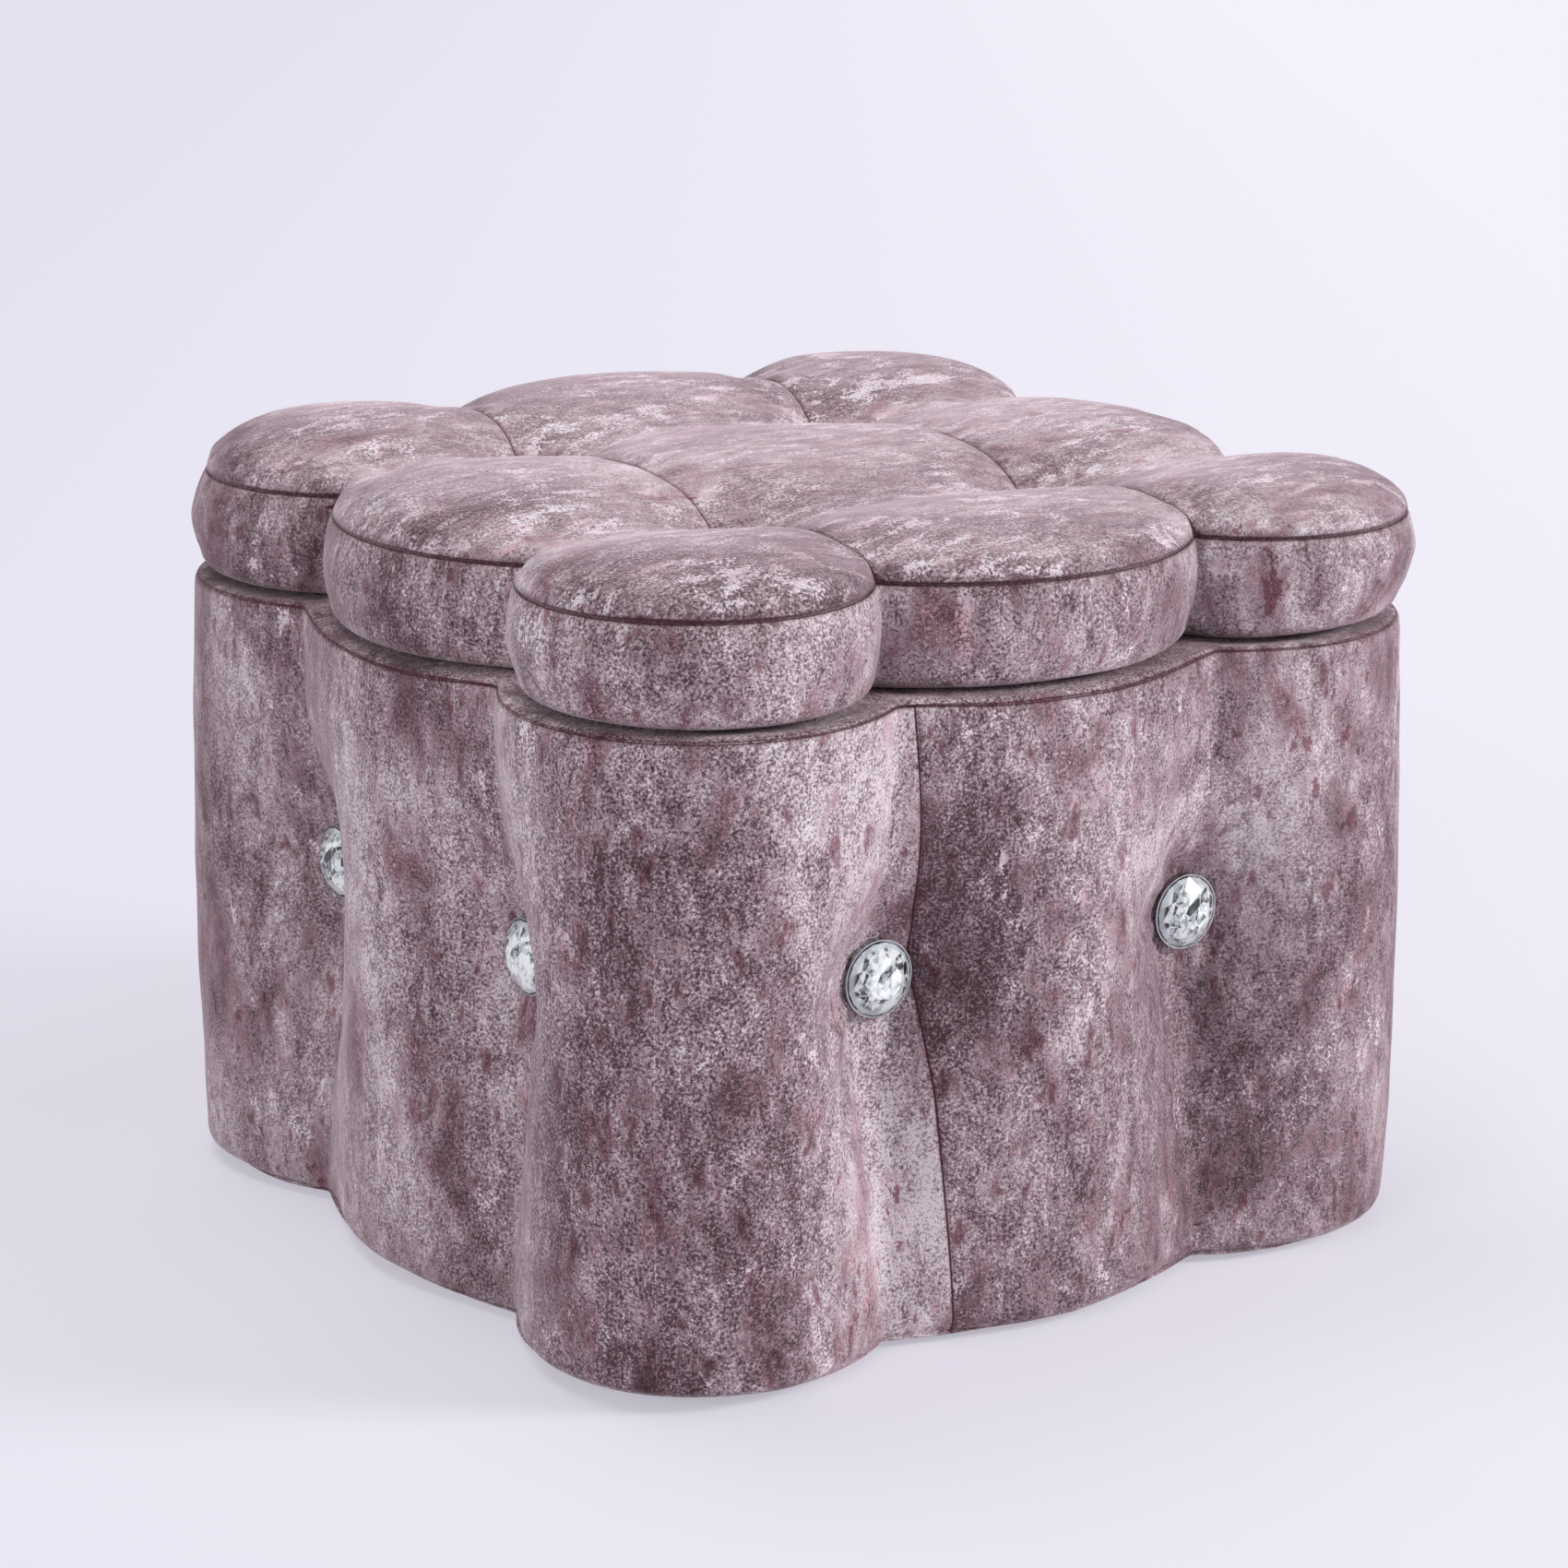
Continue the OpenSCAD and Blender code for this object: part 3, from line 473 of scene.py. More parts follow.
def crystal_finish():
    """Cut glass over silver foil, its reflections painted: each facet breaks up into bright and dark slivers
    inside a pale girdle.
    """
    f = Finish("cut_glass_painted_reflections")
    spot = f.add("Attribute", attribute_name="spot").outputs["Vector"]
    facet = f.add("Attribute", attribute_name="facet").outputs["Fac"]
    turned = f.add("Mapping", {"Vector": spot, "Rotation": (0, 0, SLIVER_TURN), "Scale": (1, SLIVER_LONG, 1)},
                   vector_type="TEXTURE").outputs["Vector"]
    sliver = {"Vector": turned, "Scale": SLIVER_FINE}
    slivers = f.add("TexVoronoi", sliver).outputs["Color"]
    chips = f.add("TexVoronoi", {"Vector": spot, "Scale": CHIP_FINE}).outputs["Color"]
    edges = f.add("TexVoronoi", sliver, feature="DISTANCE_TO_EDGE").outputs["Distance"]
    # Painted reflections: each facet's brightness, broken into slivers and chips
    tone = f.math("MULTIPLY_ADD", facet, 0.45, f.math("MULTIPLY", f.remap(slivers, 0.25, 0.75), 0.62))
    tone = f.math("ADD", tone, f.math("MULTIPLY", f.remap(chips, 0.2, 0.8), 0.38))
    color = f.ramp(tone, GLASS_REFLECTION_TONES)
    # Painted glints along the slivers' edge lines and round the girdle
    color = f.mix(f.remap(edges, 0.01, 0.035, 0.85, 0.0), color, GLASS_EDGE_GLINT)
    flat = f.add("VectorMath", {0: spot, 1: (1, 1, 0)}, operation="MULTIPLY").outputs["Vector"]
    radius = f.add("VectorMath", {0: flat}, operation="LENGTH").outputs["Value"]
    color = f.mix(f.remap(radius, 0.84, 0.90, 0.0, 0.75), color, GIRDLE_GLINT)
    return f.surface(color, f.remap(tone, 0.2, 0.9, 0.22, 0.08),
                     even={"Metallic": 0.2, "Coat Weight": 0.5, "Coat Roughness": 0.02})


def foil_finish():
    """Silver foil behind the crystal, each facet with its own brightness as a painted reflection."""
    f = Finish("silver_foil_painted_reflections")
    facet = f.add("Attribute", attribute_name="facet").outputs["Fac"]
    haze = f.noise(f.place(), 700.0, 3.0)
    tone = f.math("ADD", facet, f.math("MULTIPLY", haze, 0.15))
    color = f.ramp(tone, [(0.08, (0.03, 0.033, 0.035)), (0.38, (0.30, 0.32, 0.33)),
                          (0.62, (0.72, 0.75, 0.77)), (0.95, (0.97, 0.98, 1.0))])
    return f.surface(color, f.remap(haze, 0.3, 0.7, 0.06, 0.2), even={"Metallic": 0.9})


# Plan of the lobes, as the circles that pass through the notches. A form is the depth of
# the valleys and the draw of the corners.
def middle_circle(reach, form):
    radius = (HALF_PITCH ** 2 + form[0] ** 2) / (2 * form[0])
    return reach - radius, radius


def corner_circle(reach, form):
    d, n = reach - form[1], reach - form[0]
    centre = (2 * d ** 2 - HALF_PITCH ** 2 - n ** 2) / (2 * (2 * d - HALF_PITCH - n))
    return centre, math.sqrt(2) * (d - centre)


def middle_point(reach, form, s):
    centre, radius = middle_circle(reach, form)
    angle = np.arcsin(HALF_PITCH / radius) * s
    return np.array([centre + radius * np.cos(angle), radius * np.sin(angle)])


def corner_point(reach, form, s):
    centre, radius = corner_circle(reach, form)
    start = math.atan2(HALF_PITCH - centre, reach - form[0] - centre)
    angle = math.radians(45) + (math.radians(45) - start) * s
    return np.array([centre + radius * np.cos(angle), centre + radius * np.sin(angle)])


def lobe_loop(reach, form):
    """Points once round the lobes, against the clock, from the front notch of the right-hand side."""
    quarter = np.hstack([middle_point(reach, form, 2 * np.arange(MID_STEPS) / MID_STEPS - 1),
                         corner_point(reach, form, 2 * np.arange(CORNER_STEPS) / CORNER_STEPS - 1)]).T
    turns = []
    for _ in range(4):
        turns.append(quarter)
        quarter = np.column_stack([-quarter[:, 1], quarter[:, 0]])
    return np.vstack(turns)


def edge_distance(p, reach, form):
    """Distance from points of the plan in to the lobes' outline."""
    q = np.sort(np.abs(p), axis=1)
    y, x = q[:, 0], q[:, 1]
    mc, mr = middle_circle(reach, form)
    cc, cr = corner_circle(reach, form)
    inside = np.maximum(reach - form[0] - x, mr - np.hypot(x - mc, y))
    return np.maximum(0, np.maximum(inside, cr - np.hypot(x - cc, y - cc)))


def drawn_in(p, z):
    """One row of the sides' skin, drawn in towards the nearest buttons' seats."""
    size = np.abs(p)
    side, out = size.min(1), size.max(1)
    away = np.hypot(side - HALF_PITCH, (z - GEM_Z) * (PULL_UP if z > GEM_Z else PULL_DOWN))
    away = np.hypot(np.maximum(0, away - PULL_FLAT), PULL_POINT)
    pull = np.exp((PULL_POINT - away) / PULL_W) * np.minimum(1, (out - side) / PULL_W)
    out = out - pull * np.maximum(0, out - SEAT_REACH)
    q = p.copy()
    on_y = size[:, 1] > size[:, 0]
    q[on_y, 1] = np.sign(p[on_y, 1]) * out[on_y]
    q[~on_y, 0] = np.sign(p[~on_y, 0]) * out[~on_y]
    return q


def flared(p, z):
    """The lobes' outline swells beyond the cushion's own, most of all at the foot."""
    low = np.clip((RIM_Z - z) / (RIM_Z - TURN_Z), 0, 1)
    return p * (1 + (FLARE_TOP + (FLARE_LOW - FLARE_TOP) * low) / BODY_REACH)


def belly_at(z):
    low, high = TURN_Z - HANG + BOTTOM_ROUND, RIM_Z - RIM_ROUND
    return BELLY * (2 * (z - low) / (high - low) - 1) ** 2


def cloud(points, wave, seed):
    """Smooth irregularity from -1 to 1 at each point, with features about one wave across."""
    shift = Vector((seed * 3.17, seed * 1.31, seed * 2.09))
    return np.array([noise.noise(Vector(p) / wave + shift) for p in np.asarray(points, float).tolist()])


def side_seam(z):
    """X of the upright seam of the front's velvet at a height."""
    return np.interp(z, SEAM_HEIGHTS, SEAM_PLACES)


# Mesh making
def add_object(name, points, faces, gap=None, smooth=True, upright=None):
    """gap and upright are each point's distances to the nearest seam and, with a sign, to the upright
    seam of the front or the back, which the velvet's finish reads."""
    mesh = bpy.data.meshes.new(name)
    mesh.from_pydata(np.asarray(points, float).tolist(), [], [tuple(map(int, f)) for f in faces])
    mesh.update()
    if smooth:
        mesh.shade_smooth()
    obj = bpy.data.objects.new(name, mesh)
    bpy.context.scene.collection.objects.link(obj)
    if gap is not None:
        upright = np.ones(len(points)) if upright is None else upright
        for title, values in (("gap", gap), ("upright", upright)):
            layer = mesh.attributes.new(title, "FLOAT", "POINT")
            layer.data.foreach_set("value", np.asarray(values, np.float32))
    return obj


def points_of(obj):
    flat = np.zeros(len(obj.data.vertices) * 3)
    obj.data.vertices.foreach_get("co", flat)
    return flat.reshape(-1, 3)


def set_points(obj, points):
    obj.data.vertices.foreach_set("co", np.asarray(points, np.float32).ravel())
    obj.data.update()


def normals_of(obj):
    flat = np.zeros(len(obj.data.vertices) * 3, np.float32)
    obj.data.vertex_normals.foreach_get("vector", flat)
    return flat.reshape(-1, 3).astype(float)


def gap_of(obj):
    flat = np.zeros(len(obj.data.vertices), np.float32)
    obj.data.attributes["gap"].data.foreach_get("value", flat)
    return flat.astype(float)


def belt(lower, upper):
    """Quads between two closed loops of point numbers, the lower one first, facing out."""
    n = len(lower)
    return [(lower[j], lower[(j + 1) % n], upper[(j + 1) % n], upper[j]) for j in range(n)]


def belts(rings, closed=False):
    """Quads between rings of equal length whose points follow one another, rising rings facing out."""
    count = len(rings[0])
    loops = [list(range(i * count, (i + 1) * count)) for i in range(len(rings))]
    faces = []
    for i in range(len(rings) if closed else len(rings) - 1):
        faces += belt(loops[i], loops[(i + 1) % len(rings)])
    return faces


def ring(p, z):
    return np.column_stack([p, np.full(len(p), z) if np.isscalar(z) else z])


def refine(obj):
    """One level of subdivision, made part of the mesh."""
    tool = obj.modifiers.new("soften", "SUBSURF")
    tool.levels = tool.render_levels = 1
    tool.use_limit_surface = False
    shape = bpy.data.meshes.new_from_object(obj.evaluated_get(bpy.context.evaluated_depsgraph_get()))
    obj.modifiers.clear()
    old = obj.data
    obj.data = shape
    shape.name = obj.name
    bpy.data.meshes.remove(old)
    shape.shade_smooth()


def crumple(obj, pucker, roll, seed):
    """Puckers beside the seams, and shallow rolls and ripples all over, that no two pillows share."""
    points, gap = points_of(obj), gap_of(obj)
    near = np.exp(-gap / PUCKER_RUN) * np.minimum(1, gap / SEAM_FLAT)
    push = pucker * near * cloud(points, PUCKER_RUN, seed)
    push += roll * cloud(points, ROLL_RUN, seed + 4) * np.minimum(1, gap / RIPPLE_RUN)
    push += roll * RIPPLE_SHARE * cloud(points, RIPPLE_RUN, seed + 9) * np.minimum(1, gap / RIPPLE_RUN * 2)
    set_points(obj, points + normals_of(obj) * push[:, None])


def paint(obj, *finishes):
    obj.data.materials.clear()
    for finish in finishes:
        obj.data.materials.append(finish)
    return obj


def repaint(finish, *nodes):
    for node in nodes:
        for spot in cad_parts[node].material_slots:
            spot.material = finish


def hand_over(obj, body, slot, *nodes):
    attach(obj, body)
    if nodes:
        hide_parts(*nodes)
    return obj


def inflate(obj, held, cap, slack=0.0):
    """Blows the padding out under its cover. held pins points, cap, a length or one for each point, limits
    how far they travel, and slack is the share by which the cover is cut larger."""
    rest = points_of(obj)
    group = obj.vertex_groups.new(name="held")
    share = held.round(2)
    for weight in np.unique(share):
        if weight > 0:
            group.add([int(i) for i in np.nonzero(share == weight)[0]], float(weight), "REPLACE")
    tool = obj.modifiers.new("cloth", "CLOTH")
    cloth = tool.settings
    cloth.quality = COVER_STEPS
    cloth.mass = COVER_MASS
    cloth.tension_stiffness = cloth.compression_stiffness = COVER_STRETCH
    cloth.shear_stiffness = COVER_SHEAR
    cloth.bending_stiffness = COVER_BEND
    cloth.use_pressure = True
    cloth.uniform_pressure_force = AIR
    cloth.effector_weights.gravity = 0
    cloth.vertex_group_mass = "held"
    cloth.shrink_min = -slack
    tool.collision_settings.use_collision = False
    tool.collision_settings.use_self_collision = False
    tool.point_cache.frame_start = 1
    tool.point_cache.frame_end = BLOWN_FRAMES
    scene = bpy.context.scene
    for number in range(1, BLOWN_FRAMES + 1):
        scene.frame_set(number)
    blown = obj.evaluated_get(bpy.context.evaluated_depsgraph_get())
    flat = np.zeros(len(rest) * 3)
    blown.to_mesh().vertices.foreach_get("co", flat)
    blown.to_mesh_clear()
    travel = flat.reshape(-1, 3) - rest
    obj.modifiers.remove(tool)
    obj.vertex_groups.remove(group)
    scene.frame_set(1)
    length = np.linalg.norm(travel, axis=1)
    travel *= (cap * np.tanh(length / cap) / np.maximum(length, 1e-9))[:, None]
    set_points(obj, rest + travel)


def side_ring(step, z):
    """One row of the sides' skin, a step in from their outline."""
    return ring(drawn_in(flared(lobe_loop(BODY_REACH - step, BOX_FORM), z), z), z)


# Side padding: the velvet of the eight lobes over their foam
def rim_edge(degrees):
    """A point of the rounding over the rim, from upright at 0 to level at 90: (step in, height)."""
    low, angle = RIM_Z - RIM_ROUND, math.radians(degrees)
    radius = RIM_TOP - low
    return BELLY + radius * (1 - math.cos(angle)), low + radius * math.sin(angle)


def rim_droop(points):
    """How far the rim seam hangs at a place, more on the middle lobes than on the corner ones."""
    side = np.abs(points[:, :2]).min(1)
    flat = ring(points[:, :2], 0.0)
    wander = RIM_UNEVEN * cloud(flat, RIM_UNEVEN_RUN, 17) * np.exp(-(side / RIM_UNEVEN_W) ** 4)
    return RIM_DROOP * np.exp(-(side / RIM_DROOP_W) ** 4) + wander


def side_rows():
    """Rows of the side's skin from the turned-under edge up to the rim seam: (step in, height)."""
    rows = []
    for k in range(1, 7):
        angle = math.radians(90) * k / 6
        rows.append((BELLY + BOTTOM_ROUND * (1 - math.sin(angle)),
                     TURN_Z - HANG + BOTTOM_ROUND * (1 - math.cos(angle))))
    low, high = rows[-1][1], RIM_Z - RIM_ROUND
    for k in range(1, WALL_STEPS + 1):
        z = low + (high - low) * k / WALL_STEPS
        rows.append((belly_at(z), z))
    return rows + [rim_edge(RIM_SEAM_ANGLE * s) for s in (0.35, 0.7, 1)]


def square_ring(half, z):
    """The loop's rays cut off at a square."""
    p = lobe_loop(BODY_REACH, BOX_FORM)
    return ring(p * (half / np.abs(p).max(1))[:, None], z)


def make_side():
    bottom = ring(flared(lobe_loop(BODY_REACH - BELLY - BOTTOM_ROUND, BOX_FORM), TURN_Z), TURN_Z)
    edge = square_ring(BOX_HALF - TURN_UNDER, TURN_Z)
    rings = []
    for s in (0, 0.35, 0.7, 0.9, 1):
        rings.append(edge + (bottom - edge) * s - [0, 0, HANG * max(0, s - 0.4) / 0.6])
    skin_from = len(rings)
    for step, z in side_rows():
        rings.append(side_ring(step, z))
    skin_to = len(rings) - 1
    step, rim = rim_edge(RIM_SEAM_ANGLE)
    # Behind the seam the skin turns in under the rim's velvet, and runs down along the panels
    for inward, z in ((step + SEAM_SINK * 2, rim - 0.0002), (step + 0.005, RIM_Z - 0.0022)):
        rings.append(side_ring(inward, z))
    for half, z in ((BOX_HALF + 0.0004, RIM_Z - 0.0016), (BOX_HALF + 0.0004, BASE_Z + 0.0005),
                    (BOX_HALF - TURN_UNDER, BASE_Z - 0.0002)):
        rings.append(square_ring(half, z))
    points = np.vstack(rings)
    count = len(rings[0])
    z = points[:, 2]
    row = np.repeat(np.arange(len(rings)), count)
    size = np.abs(points[:, :2])
    side, out = size.min(1), size.max(1)
    button = np.hypot(side - HALF_PITCH, z - GEM_Z)
    valley = np.exp(-((side - HALF_PITCH) / VALLEY_HOLD_W) ** 2) * (out > HALF_PITCH * 1.5)
    held = np.maximum(VALLEY_HOLD * valley, np.exp(-(button / BUTTON_HOLD_R) ** 4))
    held[(row < skin_from + 2) | (row >= skin_to - 1)] = 1
    gap = np.where(row <= skin_to, np.maximum(0, rim - z - RIM_THREAD), 0)
    points[:, 2] -= rim_droop(points) * np.clip((z - rim + 0.03) / 0.03, 0, 1) * (row <= skin_to + 1)
    front = points[:, 1] < 0
    upright = np.where(front, points[:, 0] - side_seam(z), np.abs(points[:, 0] + side_seam(z)))
    upright[(size[:, 1] < size[:, 0]) | (row > skin_to)] = 1
    padding = add_object("side_padding", points, belts(rings, closed=True), gap, upright=upright)
    inflate(padding, held, SIDE_SWELL)
    seat_buttons(padding)
    refine(padding)
    crumple(padding, pucker=0.0007, roll=0.0010, seed=2.0)
    button_folds(padding)
    return padding


def seat_buttons(obj):
    """Keeps the velvet behind each side button's cup, and off its crystal seen from the side."""
    points = points_of(obj)
    size = np.abs(points[:, :2])
    far = np.hypot(size.min(1) - HALF_PITCH, points[:, 2] - GEM_Z)
    most = SEAT_REACH + SEAT_ROOM + np.maximum(0, far - GEM_R - SEAT_STRIP) * SEAT_SLOPE
    out = size.max(1)
    shift = np.where((far < SEAT_RUN) & (out > BOX_HALF + 0.006), np.minimum(1, most / out), 1)
    on_y = size[:, 1] > size[:, 0]
    points[on_y, 1] *= shift[on_y]
    points[~on_y, 0] *= shift[~on_y]
    set_points(obj, points)


def button_folds(obj):
    """Soft folds that run out from each side button, deepest just beside it."""
    points, normals = points_of(obj), normals_of(obj)
    size = np.abs(points[:, :2])
    across, up = size.min(1) - HALF_PITCH, points[:, 2] - GEM_Z
    far = np.hypot(across, up)
    angle = np.arctan2(up, across)
    which = np.sign(points[:, 0]) + 2 * np.sign(points[:, 1]) + 4 * (size[:, 0] > size[:, 1])
    fold = np.cos(7 * angle + which * 1.7) + 0.6 * np.cos(11 * angle + which * 2.9)
    depth = FOLDS_DEEP * np.exp(-((far - FOLDS_AT) / FOLDS_RUN) ** 2) * (size.max(1) > SEAT_REACH - 0.004)
    set_points(obj, points - normals * (depth * (0.9 + fold))[:, None])


# Velvet over the rim, and down into the box as a skirt
def cavity_ring(depth, z):
    """The loop's rays cut off at the inside of the box, a depth in from its panels and posts."""
    p = lobe_loop(BODY_REACH, BOX_FORM)
    size = np.abs(p)
    i = CAVITY_HALF - depth
    wide = 2 * CAVITY_HALF - POST_LEG - math.sqrt(2) * depth
    return ring(p * np.minimum(i / size.max(1), wide / size.sum(1))[:, None], z)


def make_rim():
    outer = []
    for k in range(7):
        step, z = rim_edge(RIM_SEAM_ANGLE + (90 - RIM_SEAM_ANGLE) * k / 6)
        outer.append(side_ring(step - RIM_LAP, z))
    top_out = outer[-1]
    top_in = cavity_ring(-BEND_W, RIM_TOP)
    top = []
    for k in range(1, 9):
        s = k / 9
        sag = RIM_SAG * math.exp(-((s - 0.84) / 0.09) ** 2) + RIM_HOLLOW * math.sin(math.pi * s)
        top.append(top_out + (top_in - top_out) * s - [0, 0, sag])
    edge = [cavity_ring(-BEND_W + (BEND_W + CLOTH_T) * math.sin(math.radians(a)),
                        RIM_TOP - BEND_DROP * (1 - math.cos(math.radians(a)))) for a in (0, 30, 60, 90)]
    skirt = [cavity_ring(CLOTH_T, RIM_TOP - BEND_DROP - s * (SKIRT_H - BEND_DROP))
             for s in (0.15, 0.4, 0.7, 1)]
    inner = [cavity_ring(0.0001, RIM_TOP - s * SKIRT_H) for s in (0.98, 0.5, 0.1)]
    step, rim = rim_edge(RIM_SEAM_ANGLE)
    under = ring(flared(lobe_loop(BODY_REACH - step - 0.006, BOX_FORM), RIM_Z), RIM_Z)
    lip = side_ring(step + SEAM_SINK, rim) + [0, 0, 0.0002]
    rings = [lip] + outer + top + edge + skirt + inner + [under]
    points = np.vstack(rings)
    count = len(rings[0])
    row = np.repeat(np.arange(len(rings)), count)
    gap = np.maximum(0, np.linalg.norm(points - np.tile(lip, (len(rings), 1)), axis=1) - RIM_THREAD)
    gap = np.where(row > len(outer) + len(top), 0.05, gap)
    spread = np.interp(row, (0, len(outer), len(outer) + 5), (1, 1, 0))
    points[:, 2] -= np.maximum(0, rim_droop(points)) * spread
    corner = np.clip((np.abs(points[:, :2]).min(1) - 0.07) / 0.03, 0, 1)
    beyond = np.clip((np.abs(points[:, :2]).max(1) - BOX_HALF - 0.010) / 0.012, 0, 1)
    points[:, 2] -= RIM_CORNER_SINK * corner * beyond * np.interp(row, (0, 7, 9), (0.0, 0.5, 1))
    cover = add_object("rim_velvet", points, belts(rings, closed=True), gap)
    refine(cover)
    points, gap = points_of(cover), gap_of(cover)
    push = cloud(points, 0.012, 21) * np.minimum(1, gap / SEAM_FLAT) + cloud(points, 0.04, 23)
    points += normals_of(cover) * RIM_ROLL * push[:, None]
    # Over the panels and posts the velvet lies on them
    size = np.abs(points[:, :2])
    reach = size.max(1)
    over = (reach > CAVITY_HALF - 0.001) | (size.sum(1) > 2 * CAVITY_HALF - POST_LEG - 0.001)
    over &= (reach < BOX_HALF + 0.009) & (points[:, 2] > RIM_Z - 0.004) & (normals_of(cover)[:, 2] > 0.5)
    points[over, 2] = np.maximum(points[over, 2], PANEL_TOP + CLOTH_T * 0.8)
    points[:, 2] = np.minimum(points[:, 2], RIM_TOP)
    set_points(cover, points)
    return cover


# Lid: plan of the nine pillows, counted in pillows from the middle, where 0.5 is a crease
# and 1.5 is the seam
def lid_place(reach, u, v):
    a, b = abs(u), abs(v)
    h = HALF_PITCH
    sx, sy = math.copysign(1, u), math.copysign(1, v)
    if a <= 0.5 and b <= 0.5:
        return u * 2 * h, v * 2 * h
    if b <= 0.5:
        p = middle_point(reach, LID_FORM, 2 * v)
        t = a - 0.5
        return sx * (h + (p[0] - h) * t), 2 * v * h + (p[1] - 2 * v * h) * t
    if a <= 0.5:
        p = middle_point(reach, LID_FORM, 2 * u)
        t = b - 0.5
        return 2 * u * h + (p[1] - 2 * u * h) * t, sy * (h + (p[0] - h) * t)
    s, t = a - 0.5, b - 0.5
    n, d = reach - LID_FORM[0], reach - LID_FORM[1]
    low, left = np.array([h + (n - h) * s, h]), np.array([h, h + (n - h) * t])
    right, top = corner_point(reach, LID_FORM, t - 1), corner_point(reach, LID_FORM, 1 - s)
    p = low * (1 - t) + top * t + left * (1 - s) + right * s
    p -= (np.array([h, h]) * (1 - s) * (1 - t) + np.array([n, h]) * s * (1 - t)
          + np.array([h, n]) * (1 - s) * t + np.array([d, d]) * s * t)
    return sx * p[0], sy * p[1]


def pillow_height(p):
    """Height of the lid's skin. The pillows at the back left are the fullest."""
    # How far each place belongs to the right, to the near front, and to the right front corner
    right = 0.5 + 0.5 * np.tanh((p[:, 0] - p[:, 1] * 0.6) / 0.07)
    near = 0.5 - 0.5 * np.tanh((p[:, 1] - 0.05) / 0.05)
    end = 0.5 + 0.5 * np.tanh((p[:, 0] - p[:, 1] - 0.22) / 0.05)
    plump = PLUMP - LESS_RIGHT * right - LESS_NEAR * near * (1 - CORNER_KEEPS * end)
    edge = edge_distance(p, LID_REACH, LID_FORM)
    rise = np.sqrt(1 - (1 - np.minimum(1, edge / PILLOW_RUN)) ** 2)
    cx, cy = np.abs(np.abs(p) - HALF_PITCH).T
    dip = CREASE_DEPTH * np.exp(-cx / CREASE_W) + FOLD_DEPTH * np.exp(-((cy / FOLD_W) ** 2))
    far = np.sqrt(cx ** 2 + cy ** 2 + PULL_POINT ** 2)
    dip += (TUFT_DEPTH - CREASE_DEPTH - FOLD_DEPTH) * np.exp((PULL_POINT - far) / TUFT_W)
    return SEAM_Z + (CROWN_Z - SEAM_Z) * rise * plump - dip * np.minimum(1, edge / 0.02)


def leaning(p):
    """How far the lid's cover has been pulled round and across while it was nailed to its board."""
    return np.column_stack([LEAN_ACROSS + LEAN_ROUND * p[:, 1], -LEAN_ROUND * p[:, 0]])


def band_profile():
    """Rows of the lid's side band from its turned-under edge up to the seam: (step in, height)."""
    rows = [(LID_ROUND + LID_TURN * s, BAND_Z) for s in (1, 0.5)]
    for k in range(5):
        angle = math.radians(90) * k / 4
        rows.append((LID_ROUND * (1 - math.sin(angle)), BAND_Z + LID_ROUND * (1 - math.cos(angle))))
    low = BAND_Z + LID_ROUND
    for k in range(1, BAND_STEPS):
        s = k / BAND_STEPS
        rows.append((-LID_BULGE * 0.8 * math.sin(math.pi * s), low + (SEAM_Z - low) * s))
    return rows


def cushion_faces(grid, border, base, rows):
    """Faces of the pillows' grid, of the rows of points that are numbered after it, the lowest first, and of
    the fan that closes them underneath. The rows' numbers come with them."""
    rim = len(border)
    loops = [np.arange(base + i * rim, base + (i + 1) * rim) for i in range(rows)]
    faces = list(grid)
    for lower, upper in zip(loops, loops[1:] + [border]):
        faces += belt(lower, upper)
    centre = base + rows * rim
    return loops, faces + [(centre, loops[0][(j + 1) % rim], loops[0][j]) for j in range(rim)]


